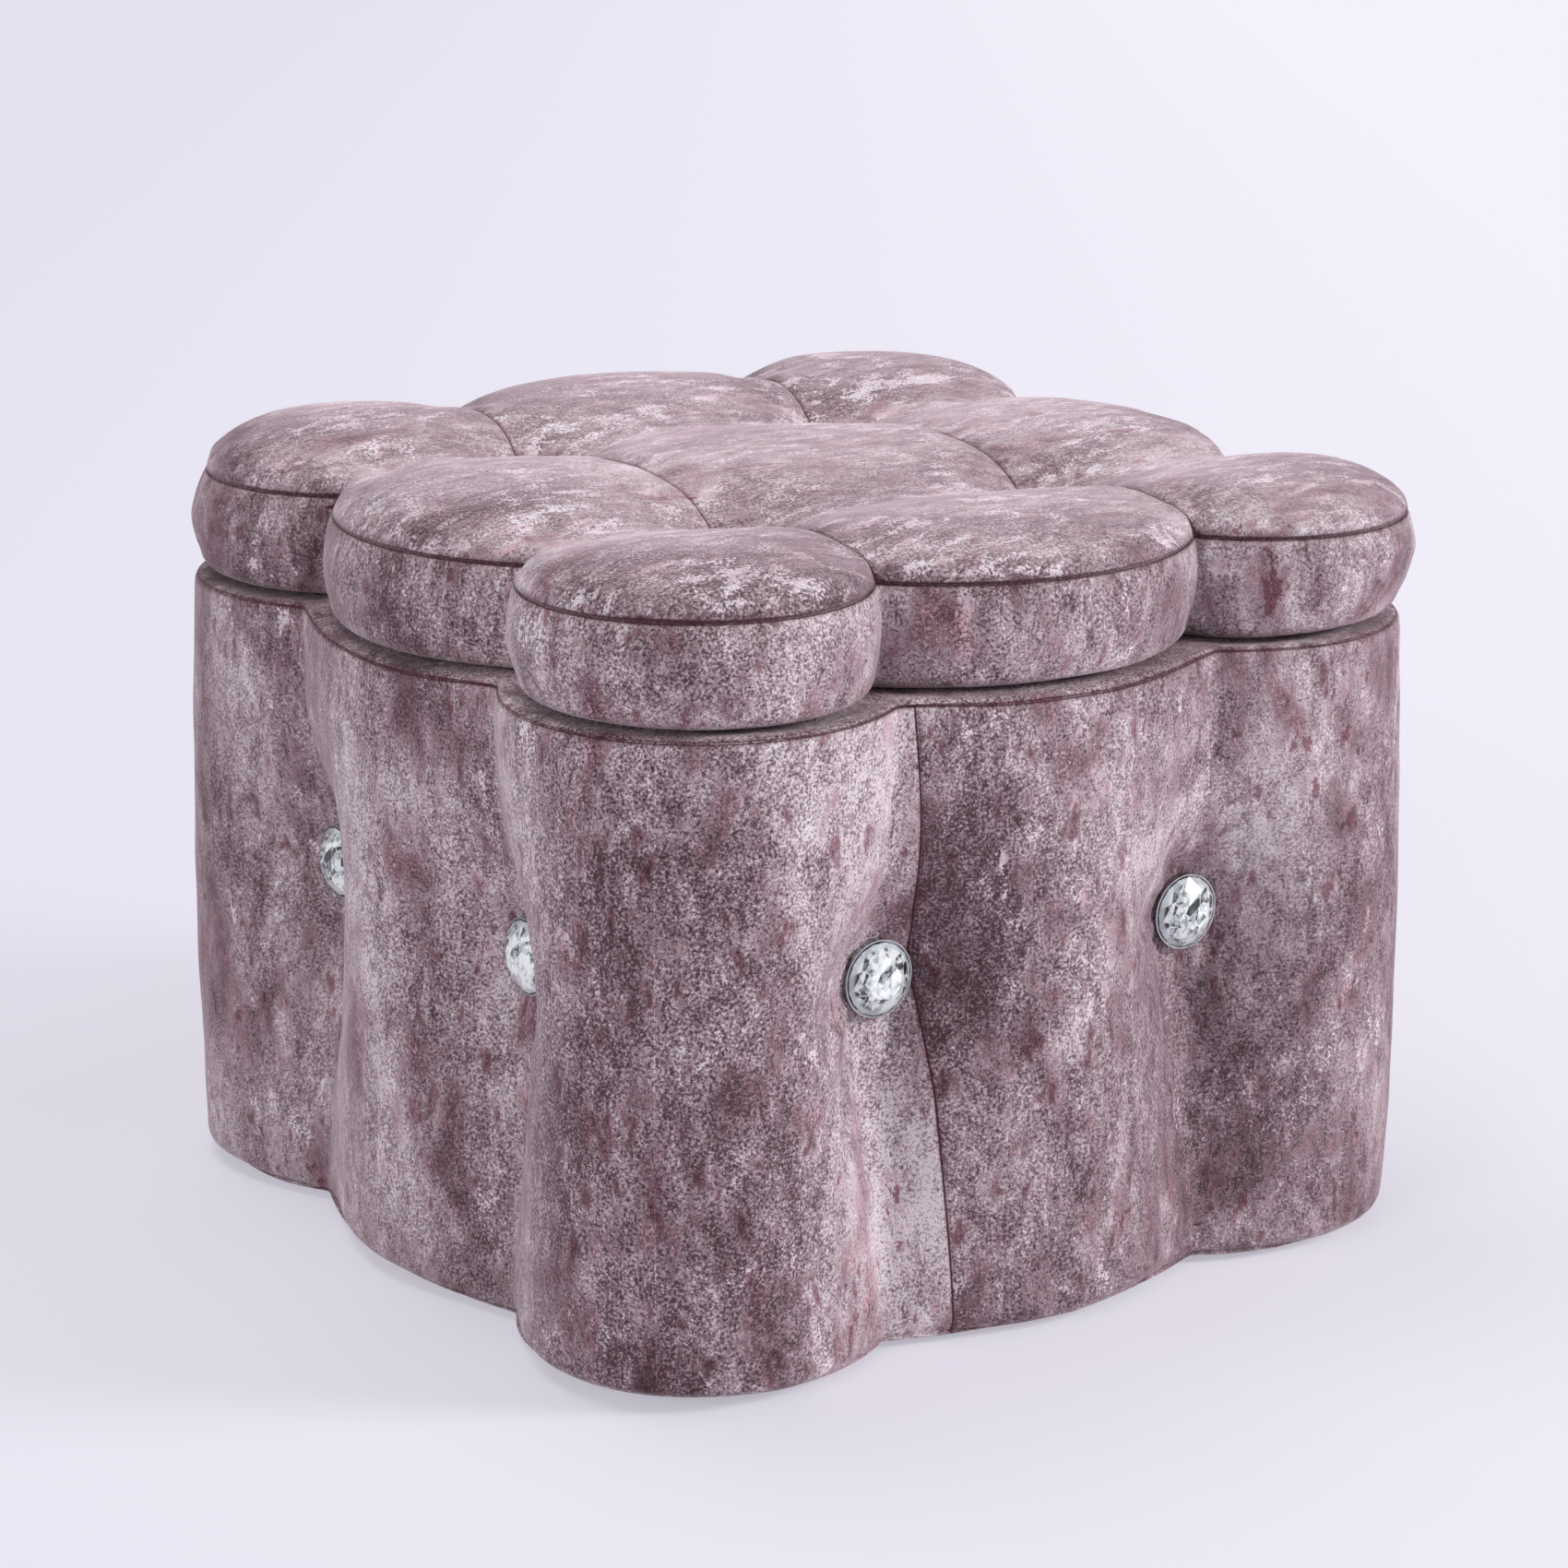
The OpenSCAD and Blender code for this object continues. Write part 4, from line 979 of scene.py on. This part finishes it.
def make_lid():
    """The lid's skin is blown out as one cushion, then parted at its seam into the top and the side band."""
    n = 3 * PILLOW_STEPS
    share = [i / PILLOW_STEPS - 1.5 for i in range(n + 1)]
    plan = np.array([lid_place(LID_REACH, u, v) for u in share for v in share])
    number = np.arange((n + 1) ** 2).reshape(n + 1, n + 1)
    border = np.concatenate([number[:n, 0], number[n, :n], number[n:0:-1, n], number[0, n:0:-1]])
    edge = edge_distance(plan, LID_REACH, LID_FORM)
    c = np.abs(np.abs(plan) - HALF_PITCH)
    crease, fold = c.T
    sway = np.minimum(1, edge / 0.02)[:, None] * np.exp(-crease / 0.02)[:, None] * CREASE_SWAY
    tied = np.hypot(c[:, 0], c[:, 1])
    sway *= np.minimum(1, tied / 0.03)[:, None]
    flat3 = ring(plan, 0.0)
    moved = plan + sway * np.column_stack([cloud(flat3, SWAY_WAVE, 31), cloud(flat3, SWAY_WAVE, 33)])
    top = ring(moved, pillow_height(plan))
    top[border, 2] = SEAM_Z
    top[:, :2] += leaning(plan) * (1 - np.exp(-(tied / LEAN_FREE) ** 2))[:, None]
    bands = []
    for step, z in band_profile():
        p = plan_row(LID_REACH - step, share, n)
        bands.append(ring(p + leaning(p) * min(1, (z - BAND_Z) / (SEAM_Z - BAND_Z)), z))
    rim = len(border)
    base = len(top)
    points = np.vstack([top] + bands + [[[0, 0, BAND_Z]]])
    grid = [(number[i, j], number[i + 1, j], number[i + 1, j + 1], number[i, j + 1])
            for i in range(n) for j in range(n)]
    loops, faces = cushion_faces(grid, border, base, len(bands))
    # The band is held as far as its rounding below, and free from there up to the seam
    held = np.zeros(len(points))
    held[:base] = np.exp(-(crease / CREASE_HOLD_W) ** 2) * CREASE_HOLD
    held[:base] = np.maximum(held[:base], np.exp(-(tied / TUFT_HOLD_R) ** 4))
    held[:base] = np.maximum(held[:base], np.exp(-(fold / FOLD_HOLD_W) ** 2) * FOLD_HOLD)
    held[border] = 1
    held[base:] = 1
    held[loops[7]] = BAND_HOLD
    for loop in loops[8:]:
        held[loop] = 0
    skin = add_object("lid_skin", points, faces)
    turned = np.clip((points[:, 0] - points[:, 1]) / 0.3, -1, 1)
    cap = np.where(np.arange(len(points)) < base, PILLOW_SWELL, BAND_SWELL + BAND_SWELL_MORE * turned)
    inflate(skin, held, cap, LID_SLACK)
    points = points_of(skin)
    bpy.data.objects.remove(skin)
    top, bands = points[:base], [points[loop] for loop in loops]

    seam = top[border]
    ahead, behind = np.roll(seam, -1, 0), np.roll(seam, 1, 0)
    along = (ahead - behind)[:, :2]
    out = np.column_stack([along[:, 1], -along[:, 0]])
    out /= np.linalg.norm(out, axis=1)[:, None]
    out = np.column_stack([out, np.zeros(rim)])
    up = np.array([0, 0, 1.0])

    # The top, closed underneath where its foam meets the board
    foam = plan_row(LID_REACH - 0.006, share, n)
    walls = [ring(plan_row(LID_REACH - 0.02, share, n), BOARD_TOP + 0.0002), ring(foam, BOARD_TOP + 0.002),
             ring(foam, SEAM_Z - 0.004), seam - out * SEAM_SINK * 2.4 - up * 0.0005, seam - out * SEAM_SINK]
    points = np.vstack([top + up * 0.0002] + walls + [[[0, 0, BOARD_TOP + 0.0002]]])
    faces = cushion_faces(grid, border, base, len(walls))[1]
    gap = np.zeros(len(points))
    gap[:base] = np.minimum(crease, edge)
    cushion = add_object("lid_pillows", points, faces, gap)
    sharpen(cushion, gap < 1e-4)
    refine(cushion)
    crumple(cushion, pucker=0.0008, roll=0.0009, seed=6.0)

    # The side band, a cloth with its own thickness
    thick = [b - out * CLOTH_T for b in bands[6:]]
    under = [ring(plan_row(LID_REACH - LID_ROUND - s, share, n), BAND_Z + CLOTH_T)
             for s in (LID_TURN, LID_TURN / 2, CLOTH_T)]
    rings = bands + [seam - up * 0.0002, seam - out * SEAM_SINK - up * 0.0006,
                     seam - out * 0.0012 - up * 0.0014] + thick[::-1] + under[::-1]
    points = np.vstack(rings)
    row = np.repeat(np.arange(len(rings)), rim)
    gap = np.where(row < len(bands), SEAM_Z - points[:, 2], 0)
    gap = np.where(row < 3, 0.05, gap)
    band = add_object("lid_band", points, belts(rings, closed=True), gap)
    refine(band)
    crumple(band, pucker=0.0007, roll=0.0007, seed=12.0)
    return cushion, band


def plan_row(reach, share, n):
    """The lid's outline at a reach, once round, on the seam's own places."""
    loop = [(i, 0) for i in range(n)] + [(n, j) for j in range(n)]
    loop += [(i, n) for i in range(n, 0, -1)] + [(0, j) for j in range(n, 0, -1)]
    return np.array([lid_place(reach, share[i], share[j]) for i, j in loop])


def sharpen(obj, chosen):
    """Keeps the edges between chosen points crisp through the subdivision."""
    ends = np.zeros(len(obj.data.edges) * 2, np.int32)
    obj.data.edges.foreach_get("vertices", ends)
    ends = ends.reshape(-1, 2)
    layer = obj.data.attributes.new("crease_edge", "FLOAT", "EDGE")
    layer.data.foreach_set("value", (chosen[ends[:, 0]] & chosen[ends[:, 1]]).astype(np.float32) * 0.85)


# Cut crystals: a clear crown over a foiled back
def stone(turn):
    """Points and faces of a cut stone: its crown, and the foiled faces below it."""
    r, h = GEM_R, GEM_H

    def circle(count, radius, z, start=0.0):
        return [(radius * math.cos(2 * math.pi * (k + start) / count + turn),
                 radius * math.sin(2 * math.pi * (k + start) / count + turn), z) for k in range(count)]

    points = circle(8, 0.52 * r, h) + circle(8, 0.74 * r, 0.80 * h, 0.5) + circle(16, r, 0.42 * h)
    points += circle(16, 0.98 * r, 0.26 * h) + circle(8, 0.34 * r, 0.02 * h) + [(0, 0, 0.0)]
    table, star, girdle, lower, culet, tip = 0, 8, 16, 32, 48, 56
    crown = [tuple(range(8))]
    back = []
    for k in range(8):
        nxt, last = (k + 1) % 8, (k - 1) % 8
        crown.append((table + k, star + k, table + nxt))
        crown.append((table + k, star + last, girdle + 2 * k, star + k))
        crown.append((star + k, girdle + 2 * k, girdle + 2 * k + 1))
        crown.append((star + k, girdle + 2 * k + 1, girdle + (2 * k + 2) % 16))
        back.append((culet + k, lower + (2 * k + 2) % 16, lower + 2 * k + 1))
        back.append((culet + k, lower + 2 * k + 1, lower + 2 * k))
        back.append((culet + k, culet + nxt, lower + (2 * k + 2) % 16))
        back.append((tip, culet + nxt, culet + k))
    for k in range(16):
        nxt = (k + 1) % 16
        crown.append((lower + k, lower + nxt, girdle + nxt, girdle + k))
    return np.array(points), crown, back


def facet_glint(stone_number, facet_number):
    """A painted reflection's brightness from 0 to 1 for one facet, without a pattern from one to the next."""
    return (math.sin(stone_number * 12.9 + facet_number * 78.233) * 43758.5453) % 1


def make_stones(name, places, seed):
    """places are (spot, outward, sideways) of each button's seat. One mesh holds the stones of one side."""
    points, spots, faces, kinds, facet_glints = [], [], [], [], []
    for k, (spot, outward, sideways) in enumerate(places):
        p, crown, back = stone(seed + k * 1.3)
        upward = np.cross(outward, sideways)
        world = spot + p[:, :1] * sideways + p[:, 1:2] * upward + (p[:, 2:] + CUP_FLOOR) * outward
        base = len(points)
        points += world.tolist()
        spots += (p / GEM_R).tolist()
        for face in crown + back:
            faces.append(tuple(i + base for i in face))
        kinds += [0] * len(crown) + [1] * len(back)
        facet_glints += [facet_glint(seed + k, i) for i in range(len(crown + back))]
    obj = add_object(name, points, faces, smooth=False)
    obj.data.polygons.foreach_set("material_index", kinds)
    layer = obj.data.attributes.new("spot", "FLOAT_VECTOR", "POINT")
    layer.data.foreach_set("vector", np.array(spots, np.float32).ravel())
    # Each face's painted reflection brightness, which the glass and the foil read
    layer = obj.data.attributes.new("facet", "FLOAT", "FACE")
    layer.data.foreach_set("value", np.array(facet_glints, np.float32))
    paint(obj, CUT_GLASS, SILVER_FOIL)
    return obj


def side_places(turn):
    c, s = math.cos(math.radians(turn)), math.sin(math.radians(turn))
    spin = np.array([[c, -s, 0], [s, c, 0], [0, 0, 1]])
    return [(spin @ np.array([k * HALF_PITCH, -SEAT_REACH, GEM_Z]), spin @ np.array([0, -1.0, 0]),
             spin @ np.array([1.0, 0, 0])) for k in (-1, 1)]


def lid_places():
    return [(np.array([x * HALF_PITCH, y * HALF_PITCH, TUFT_Z]), np.array([0, 0, 1.0]), np.array([1.0, 0, 0]))
            for x in (-1, 1) for y in (-1, 1)]


# Linings and dust cover, each a thin cloth with its own thickness
def octagon(depth):
    """Points once round the inside of the box, a depth in from its panels and posts, with the corners met."""
    i = CAVITY_HALF - depth
    s = 2 * CAVITY_HALF - POST_LEG - math.sqrt(2) * depth - i
    corners = np.array([(i, -s), (i, s), (s, i), (-s, i), (-i, s), (-i, -s), (-s, -i), (s, -i)])
    loop = []
    for k in range(8):
        count = LINING_STEPS if k % 2 == 0 else LINING_STEPS // 6
        a, b = corners[k], corners[(k + 1) % 8]
        loop += [a + (b - a) * j / count for j in range(count)]
    return np.array(loop)


def length_of(loop):
    return float(np.linalg.norm(np.roll(loop, -1, 0) - loop, axis=1).sum())


def make_lining_sides():
    low, high = BASE_TOP + LINING_T, RIM_Z - SKIRT_SHOW
    outer, inner = octagon(CLOTH_T + 0.0001), octagon(CLOTH_T + LINING_T)
    heights = np.linspace(low, high, 26)
    rings = []
    for z in heights:
        sag = 0.0011 * (0.6 + cloud(ring(inner, z), 0.05, 41)) * math.sin(math.pi * (z - low) / (high - low))
        rings.append(ring(inner * (1 - np.maximum(sag, 0) / CAVITY_HALF)[:, None], z))
    rings = [ring(outer, z) for z in heights[::-1]] + rings
    rings = rings[::-1]
    lining = add_object("lining_walls", np.vstack(rings), belts(rings, closed=True))
    return lining, (length_of(inner), high - low)


def make_plate(name, loop, low, seed, wave, lift=1):
    """A flat cloth from its outline, slightly uneven on the face that shows: the upper one, or the lower
    one where lift is -1."""
    shares = np.linspace(0.04, 1, PLATE_STEPS)
    top, bottom = [], []
    for s in shares:
        p = loop * s
        bump = wave * cloud(ring(p, 0.0), 0.03, seed) * (s < 0.99)
        top.append(ring(p, low + LINING_T + (bump if lift > 0 else 0)))
        bottom.append(ring(p, low + (bump if lift < 0 else 0)))
    rings = bottom + top[::-1]
    points = np.vstack(rings)
    faces = belts(rings)
    count = len(loop)
    last = (len(rings) - 1) * count
    faces.append(tuple(range(last, last + count)))
    faces.append(tuple(reversed(range(count))))
    return add_object(name, points, faces)


# Staples and stitches, bent wire repeated along a line
def wire_tree():
    """Node tree that sets short bent wires along the edges given to it, each with its two legs turned in."""
    tree = bpy.data.node_groups.new("bent_wires", "GeometryNodeTree")
    shape = tree.interface
    shape.new_socket("Line", in_out="INPUT", socket_type="NodeSocketGeometry")
    for name in ("Spacing", "Length", "Wire", "Depth", "Skew"):
        shape.new_socket(name, in_out="INPUT", socket_type="NodeSocketFloat")
    shape.new_socket("Seed", in_out="INPUT", socket_type="NodeSocketInt")
    shape.new_socket("Finish", in_out="INPUT", socket_type="NodeSocketMaterial")
    shape.new_socket("Wires", in_out="OUTPUT", socket_type="NodeSocketGeometry")

    wires = Tree(tree)

    def times(value, factor):
        return wires.add("ShaderNodeMath", {0: value, 1: factor}, operation="MULTIPLY").outputs[0]

    given = wires.add("NodeGroupInput").outputs
    half = times(given["Length"], 0.5)
    sides = (times(half, -1.0), half)
    ends = [wires.add("ShaderNodeCombineXYZ", {"X": x}).outputs[0] for x in sides]
    feet = [wires.add("ShaderNodeCombineXYZ", {"X": x, "Z": given["Depth"]}).outputs[0] for x in sides]
    bars = wires.add("GeometryNodeJoinGeometry")
    for start, stop in ((ends[0], ends[1]), (ends[0], feet[0]), (ends[1], feet[1])):
        line = wires.add("GeometryNodeCurvePrimitiveLine", {"Start": start, "End": stop})
        wires.put(line.outputs[0], bars.inputs[0])
    thick = times(given["Wire"], 0.5)
    circle = wires.add("GeometryNodeCurvePrimitiveCircle", {"Resolution": 6, "Radius": thick})
    wire = wires.add("GeometryNodeCurveToMesh", {"Curve": bars.outputs[0], "Profile Curve": circle.outputs[0],
                                                 "Fill Caps": True})
    path = wires.add("GeometryNodeMeshToCurve", {"Mesh": given["Line"]})
    spots = wires.add("GeometryNodeResampleCurve", {"Curve": path.outputs[0], "Length": given["Spacing"]},
                      mode="LENGTH")
    way = wires.add("GeometryNodeInputTangent").outputs[0]
    along = wires.add("FunctionNodeAlignRotationToVector", {"Vector": way}, axis="X")
    chance = wires.add("FunctionNodeRandomValue", {2: times(given["Skew"], -1.0), 3: given["Skew"],
                                                   "Seed": given["Seed"]}, data_type="FLOAT")
    turn = wires.add("FunctionNodeAxisAngleToRotation", {"Axis": (0, 0, 1), "Angle": chance.outputs[1]})
    tilted = wires.add("FunctionNodeRotateRotation", {"Rotation": along.outputs[0],
                                                      "Rotate By": turn.outputs[0]}, rotation_space="LOCAL")
    placed = wires.add("GeometryNodeInstanceOnPoints", {"Points": spots.outputs[0],
                                                        "Instance": wire.outputs[0],
                                                        "Rotation": tilted.outputs[0]})
    real = wires.add("GeometryNodeRealizeInstances", {"Geometry": placed.outputs[0]})
    dressed = wires.add("GeometryNodeSetMaterial", {"Geometry": real.outputs[0], "Material": given["Finish"]})
    wires.put(dressed.outputs[0], wires.add("NodeGroupOutput").inputs[0])
    return tree


def wire_row(name, loop, finish, **sizes):
    """Bent wires round a closed line of points. sizes are the tree's inputs by their names."""
    mesh = bpy.data.meshes.new(name)
    count = len(loop)
    mesh.from_pydata(loop.tolist(), [(k, (k + 1) % count) for k in range(count)], [])
    obj = bpy.data.objects.new(name, mesh)
    bpy.context.scene.collection.objects.link(obj)
    tool = obj.modifiers.new("wires", "NODES")
    tool.node_group = WIRES
    for item in WIRES.interface.items_tree:
        if item.in_out == "INPUT" and item.name in sizes:
            tool[item.identifier] = sizes[item.name]
        if item.name == "Finish":
            tool[item.identifier] = finish
    shape = bpy.data.meshes.new_from_object(obj.evaluated_get(bpy.context.evaluated_depsgraph_get()))
    obj.modifiers.clear()
    obj.data = shape
    bpy.data.meshes.remove(mesh)
    shape.name = name
    return obj


def make_stage():
    steps = 64
    points = [(0, 0, 0)] + [(FLOOR_REACH * math.cos(2 * math.pi * k / steps),
                             FLOOR_REACH * math.sin(2 * math.pi * k / steps), 0) for k in range(steps)]
    floor = add_object("floor", points, [(0, k + 1, (k + 1) % steps + 1) for k in range(steps)], smooth=False)
    f = Finish("pale_floor")
    place = f.add("TexCoord").outputs["Object"]
    shade = f.noise(place, 3.0, 2.0)
    color = f.ramp(shade, [(0.3, (0.80, 0.78, 0.86)), (0.7, (0.83, 0.81, 0.89))])
    lit = f.add("BsdfPrincipled", {"Base Color": color, "Roughness": 0.85})
    across = f.add("VectorMath", {0: place, 1: ACROSS}, operation="DOT_PRODUCT")
    # The floor's far colour, paler to the right as painted light
    tone = f.ramp(f.remap(across.outputs["Value"], -0.8, 0.8), [(0.0, BACK_LEFT), (1.0, BACK_RIGHT)])
    glow = f.add("Emission", {"Color": tone, "Strength": 1.0})
    reach = f.add("VectorMath", {0: place}, operation="ABSOLUTE").outputs["Vector"]
    reach = f.add("SeparateXYZ", {"Vector": reach})
    # Near the pouf the floor takes its light and shadow, and further out it shows the backdrop's colour
    far = f.math("MAXIMUM", reach.outputs["X"], reach.outputs["Y"])
    clear = f.math("MAXIMUM", f.remap(far, 0.19, 0.26, 0.0, 0.5), f.remap(far, 0.26, 0.8, 0.5, 1.0))
    seen = f.math("MULTIPLY", f.add("LightPath").outputs["Is Camera Ray"], clear)
    mixed = f.add("MixShader", {0: seen, 1: lit.outputs[0], 2: glow.outputs[0]})
    floor.data.materials.append(f.out(mixed.outputs[0]))

    # The world lights the pouf evenly, and shows the backdrop to the camera and in the crystals
    f = Finish("studio", world=True)
    light = f.add("Background", {"Color": (0.94, 0.93, 1.0, 1), "Strength": WORLD_LIGHT})
    way = f.add("TexCoord").outputs["Generated"]
    across = f.add("VectorMath", {0: way, 1: ACROSS}, operation="DOT_PRODUCT")
    # The backdrop, paler to the right as painted light
    tone = f.ramp(f.remap(across.outputs["Value"], -0.2, 0.2), [(0.0, BACK_LEFT), (1.0, BACK_RIGHT)])
    shown = f.add("Background", {"Color": tone, "Strength": 1.0})
    path = f.add("LightPath").outputs
    clear = f.math("MAXIMUM", path["Is Camera Ray"], path["Is Glossy Ray"])
    clear = f.math("MAXIMUM", clear, path["Is Transmission Ray"])
    mixed = f.add("MixShader", {0: clear, 1: light.outputs[0], 2: shown.outputs[0]})
    scene = bpy.context.scene
    scene.world = f.out(mixed.outputs[0])
    scene.view_settings.view_transform = "Standard"


def area_light(name, place, aim, size, power):
    lamp = bpy.data.lights.new(name, "AREA")
    lamp.shape = "DISK"
    lamp.size = size
    lamp.energy = power
    obj = bpy.data.objects.new(name, lamp)
    obj.location = place
    obj.rotation_mode = "QUATERNION"
    obj.rotation_quaternion = (Vector(aim) - Vector(place)).to_track_quat("-Z", "Y")
    bpy.context.scene.collection.objects.link(obj)


make_camera()

VELVET_SIDES = velvet_finish("velvet_sides", (1.0, 1.0, 0.5), 1.0, 0.02, 0.575, 0.66)
# The rim's velvet is a darker copy with fewer licks: painted shade under the lid's edge
VELVET_RIM_SHADED = velvet_finish("velvet_rim_painted_shade", (1.0, 1.0, 0.5), 1.2, -0.03, 0.575, 0.70, (0.3, 0.35))
# The lid top's copy has far more licks and fewer patches than the sides', painted highlight where the top
# catches the light; its grain runs along X
VELVET_LID_LIT = velvet_finish("velvet_lid_top_painted_light", (0.55, 1.15, 1.0), 0.9, 0.0, 0.585, 0.575, (0.75, 0.4))
LINING = cloth_finish("lining_cloth", (0.045, 0.04, 0.043))
DUST_CLOTH = cloth_finish("dust_cover_cloth", (0.02, 0.02, 0.022), 700.0)
CUT_GLASS = crystal_finish()
SILVER_FOIL = foil_finish()
WOOD_X = wood_finish("board_wood_across", 0)
WOOD_Y = wood_finish("board_wood_deep", 1)
WOOD_Z = wood_finish("post_wood", 2)
PLY = wood_finish("plywood", 0, 0.92)

side = paint(make_side(), VELVET_SIDES)
hand_over(side, "box", "velvet", "side_cover", "foam_front", "foam_back", "foam_left", "foam_right")

rim = paint(make_rim(), VELVET_RIM_SHADED)
hand_over(rim, "box", "velvet", "rim_cover")

cushion, band = make_lid()
paint(cushion, VELVET_LID_LIT)
hand_over(cushion, "lid", "velvet", "lid_top_cover", "lid_foam")
paint(band, VELVET_SIDES)
hand_over(band, "lid", "velvet", "lid_side_band")

for name, turn in (("front", 0), ("right", 90), ("back", 180), ("left", 270)):
    stones = make_stones("cut_crystals_" + name, side_places(turn), 1.0 + turn * 0.017)
    hand_over(stones, "box", "crystal", "crystals_" + name)
hand_over(make_stones("cut_crystals_lid", lid_places(), 7.3), "lid", "crystal", "lid_crystals")

walls, flat = make_lining_sides()
paint(walls, LINING)
hand_over(walls, "box", "lining", "lining_sides")

floor_loop = octagon(CLOTH_T + LINING_T)
floor_cloth = paint(make_plate("lining_bottom", floor_loop, BASE_TOP, seed=51, wave=0.0006), LINING)
hand_over(floor_cloth, "box", "lining", "lining_floor")

square = np.array([(1, -1), (1, 1), (-1, 1), (-1, -1)]) * DUST_HALF
square = np.vstack([square[k] + (square[(k + 1) % 4] - square[k]) * j / 30
                    for k in range(4) for j in range(30)])
dust = paint(make_plate("dust_cloth", square, dust_low.z, seed=61, wave=-0.0004, lift=-1), DUST_CLOTH)
hand_over(dust, "box", "lining", "dust_cover")

share = [i / PILLOW_STEPS - 1.5 for i in range(3 * PILLOW_STEPS + 1)]
under_loop = plan_row(LID_REACH - LID_ROUND - LID_TURN - 0.0003, share, 3 * PILLOW_STEPS)
under = paint(make_plate("lid_underlining", under_loop, BAND_Z + CLOTH_T - LINING_T, seed=71, wave=-0.0003,
                         lift=-1), LINING)
hand_over(under, "lid", "lining", "lid_lining")

WIRES = wire_tree()
STAPLE_WIRE = metal_finish("staple_wire", (0.6, 0.6, 0.58), 0.25, 0.4, 900.0)
STAPLE = {"Length": 0.0095, "Wire": 0.0006, "Depth": 0.0008, "Skew": 0.14}
STAPLE_IN, STAPLE_PROUD = 0.006, 0.0003
line = ring(square * (DUST_HALF - STAPLE_IN) / DUST_HALF, dust_low.z - STAPLE_PROUD)
staples = wire_row("dust_cover_staples", line, STAPLE_WIRE, Spacing=0.034, Seed=5, **STAPLE)
hand_over(staples, "box", "steel")
line = ring(under_loop * (1 - STAPLE_IN / LID_REACH), BAND_Z + CLOTH_T - LINING_T - STAPLE_PROUD)
staples = wire_row("lid_staples", line, STAPLE_WIRE, Spacing=0.03, Seed=9, **STAPLE)
hand_over(staples, "lid", "steel")
SEWING = twine_finish("sewing_thread", (0.16, 0.07, 0.09), (0.34, 0.2, 0.235))
for number, drop in enumerate((0.005, 0.0075)):
    hem = cavity_ring(CLOTH_T + 0.00015, RIM_TOP - SKIRT_H + drop)
    stitches = wire_row("hem_stitches_" + str(number + 1), hem, SEWING,
                        Spacing=0.0036, Length=0.0025, Wire=0.0004, Depth=0.0002, Skew=0.05, Seed=number)
    hand_over(stitches, "box", "twine")

repaint(WOOD_X, "front_panel", "back_panel", "lid_battens")
repaint(WOOD_Y, "left_panel", "right_panel")
repaint(WOOD_Z, "corner_posts")
repaint(PLY, "base_board", "lid_board")
repaint(plastic_finish(),
        "feet", "washers_front", "washers_back", "washers_left", "washers_right", "lid_washers")
repaint(metal_finish("zinc_steel", (0.62, 0.62, 0.6), 0.28, 0.45), "foot_nails", "batten_screws")
repaint(metal_finish("nickel_cups", (0.45, 0.45, 0.46), 0.2, 0.35),
        "cups_front", "cups_back", "cups_left", "cups_right", "lid_cups")
repaint(twine_finish("waxed_twine", (0.4, 0.33, 0.22), (0.74, 0.67, 0.53)),
        "twines_front", "twines_back", "twines_left", "twines_right", "lid_twines")

make_stage()
area_light("key", (2.2, -1.9, 1.35), (0, 0, 0.15), 1.0, 80)
area_light("top", (-0.3, 0.7, 2.3), (0, 0, 0.3), 1.5, 23)
area_light("fill", (-2.5, -0.9, 1.1), (0, 0, 0.15), 1.6, 25)
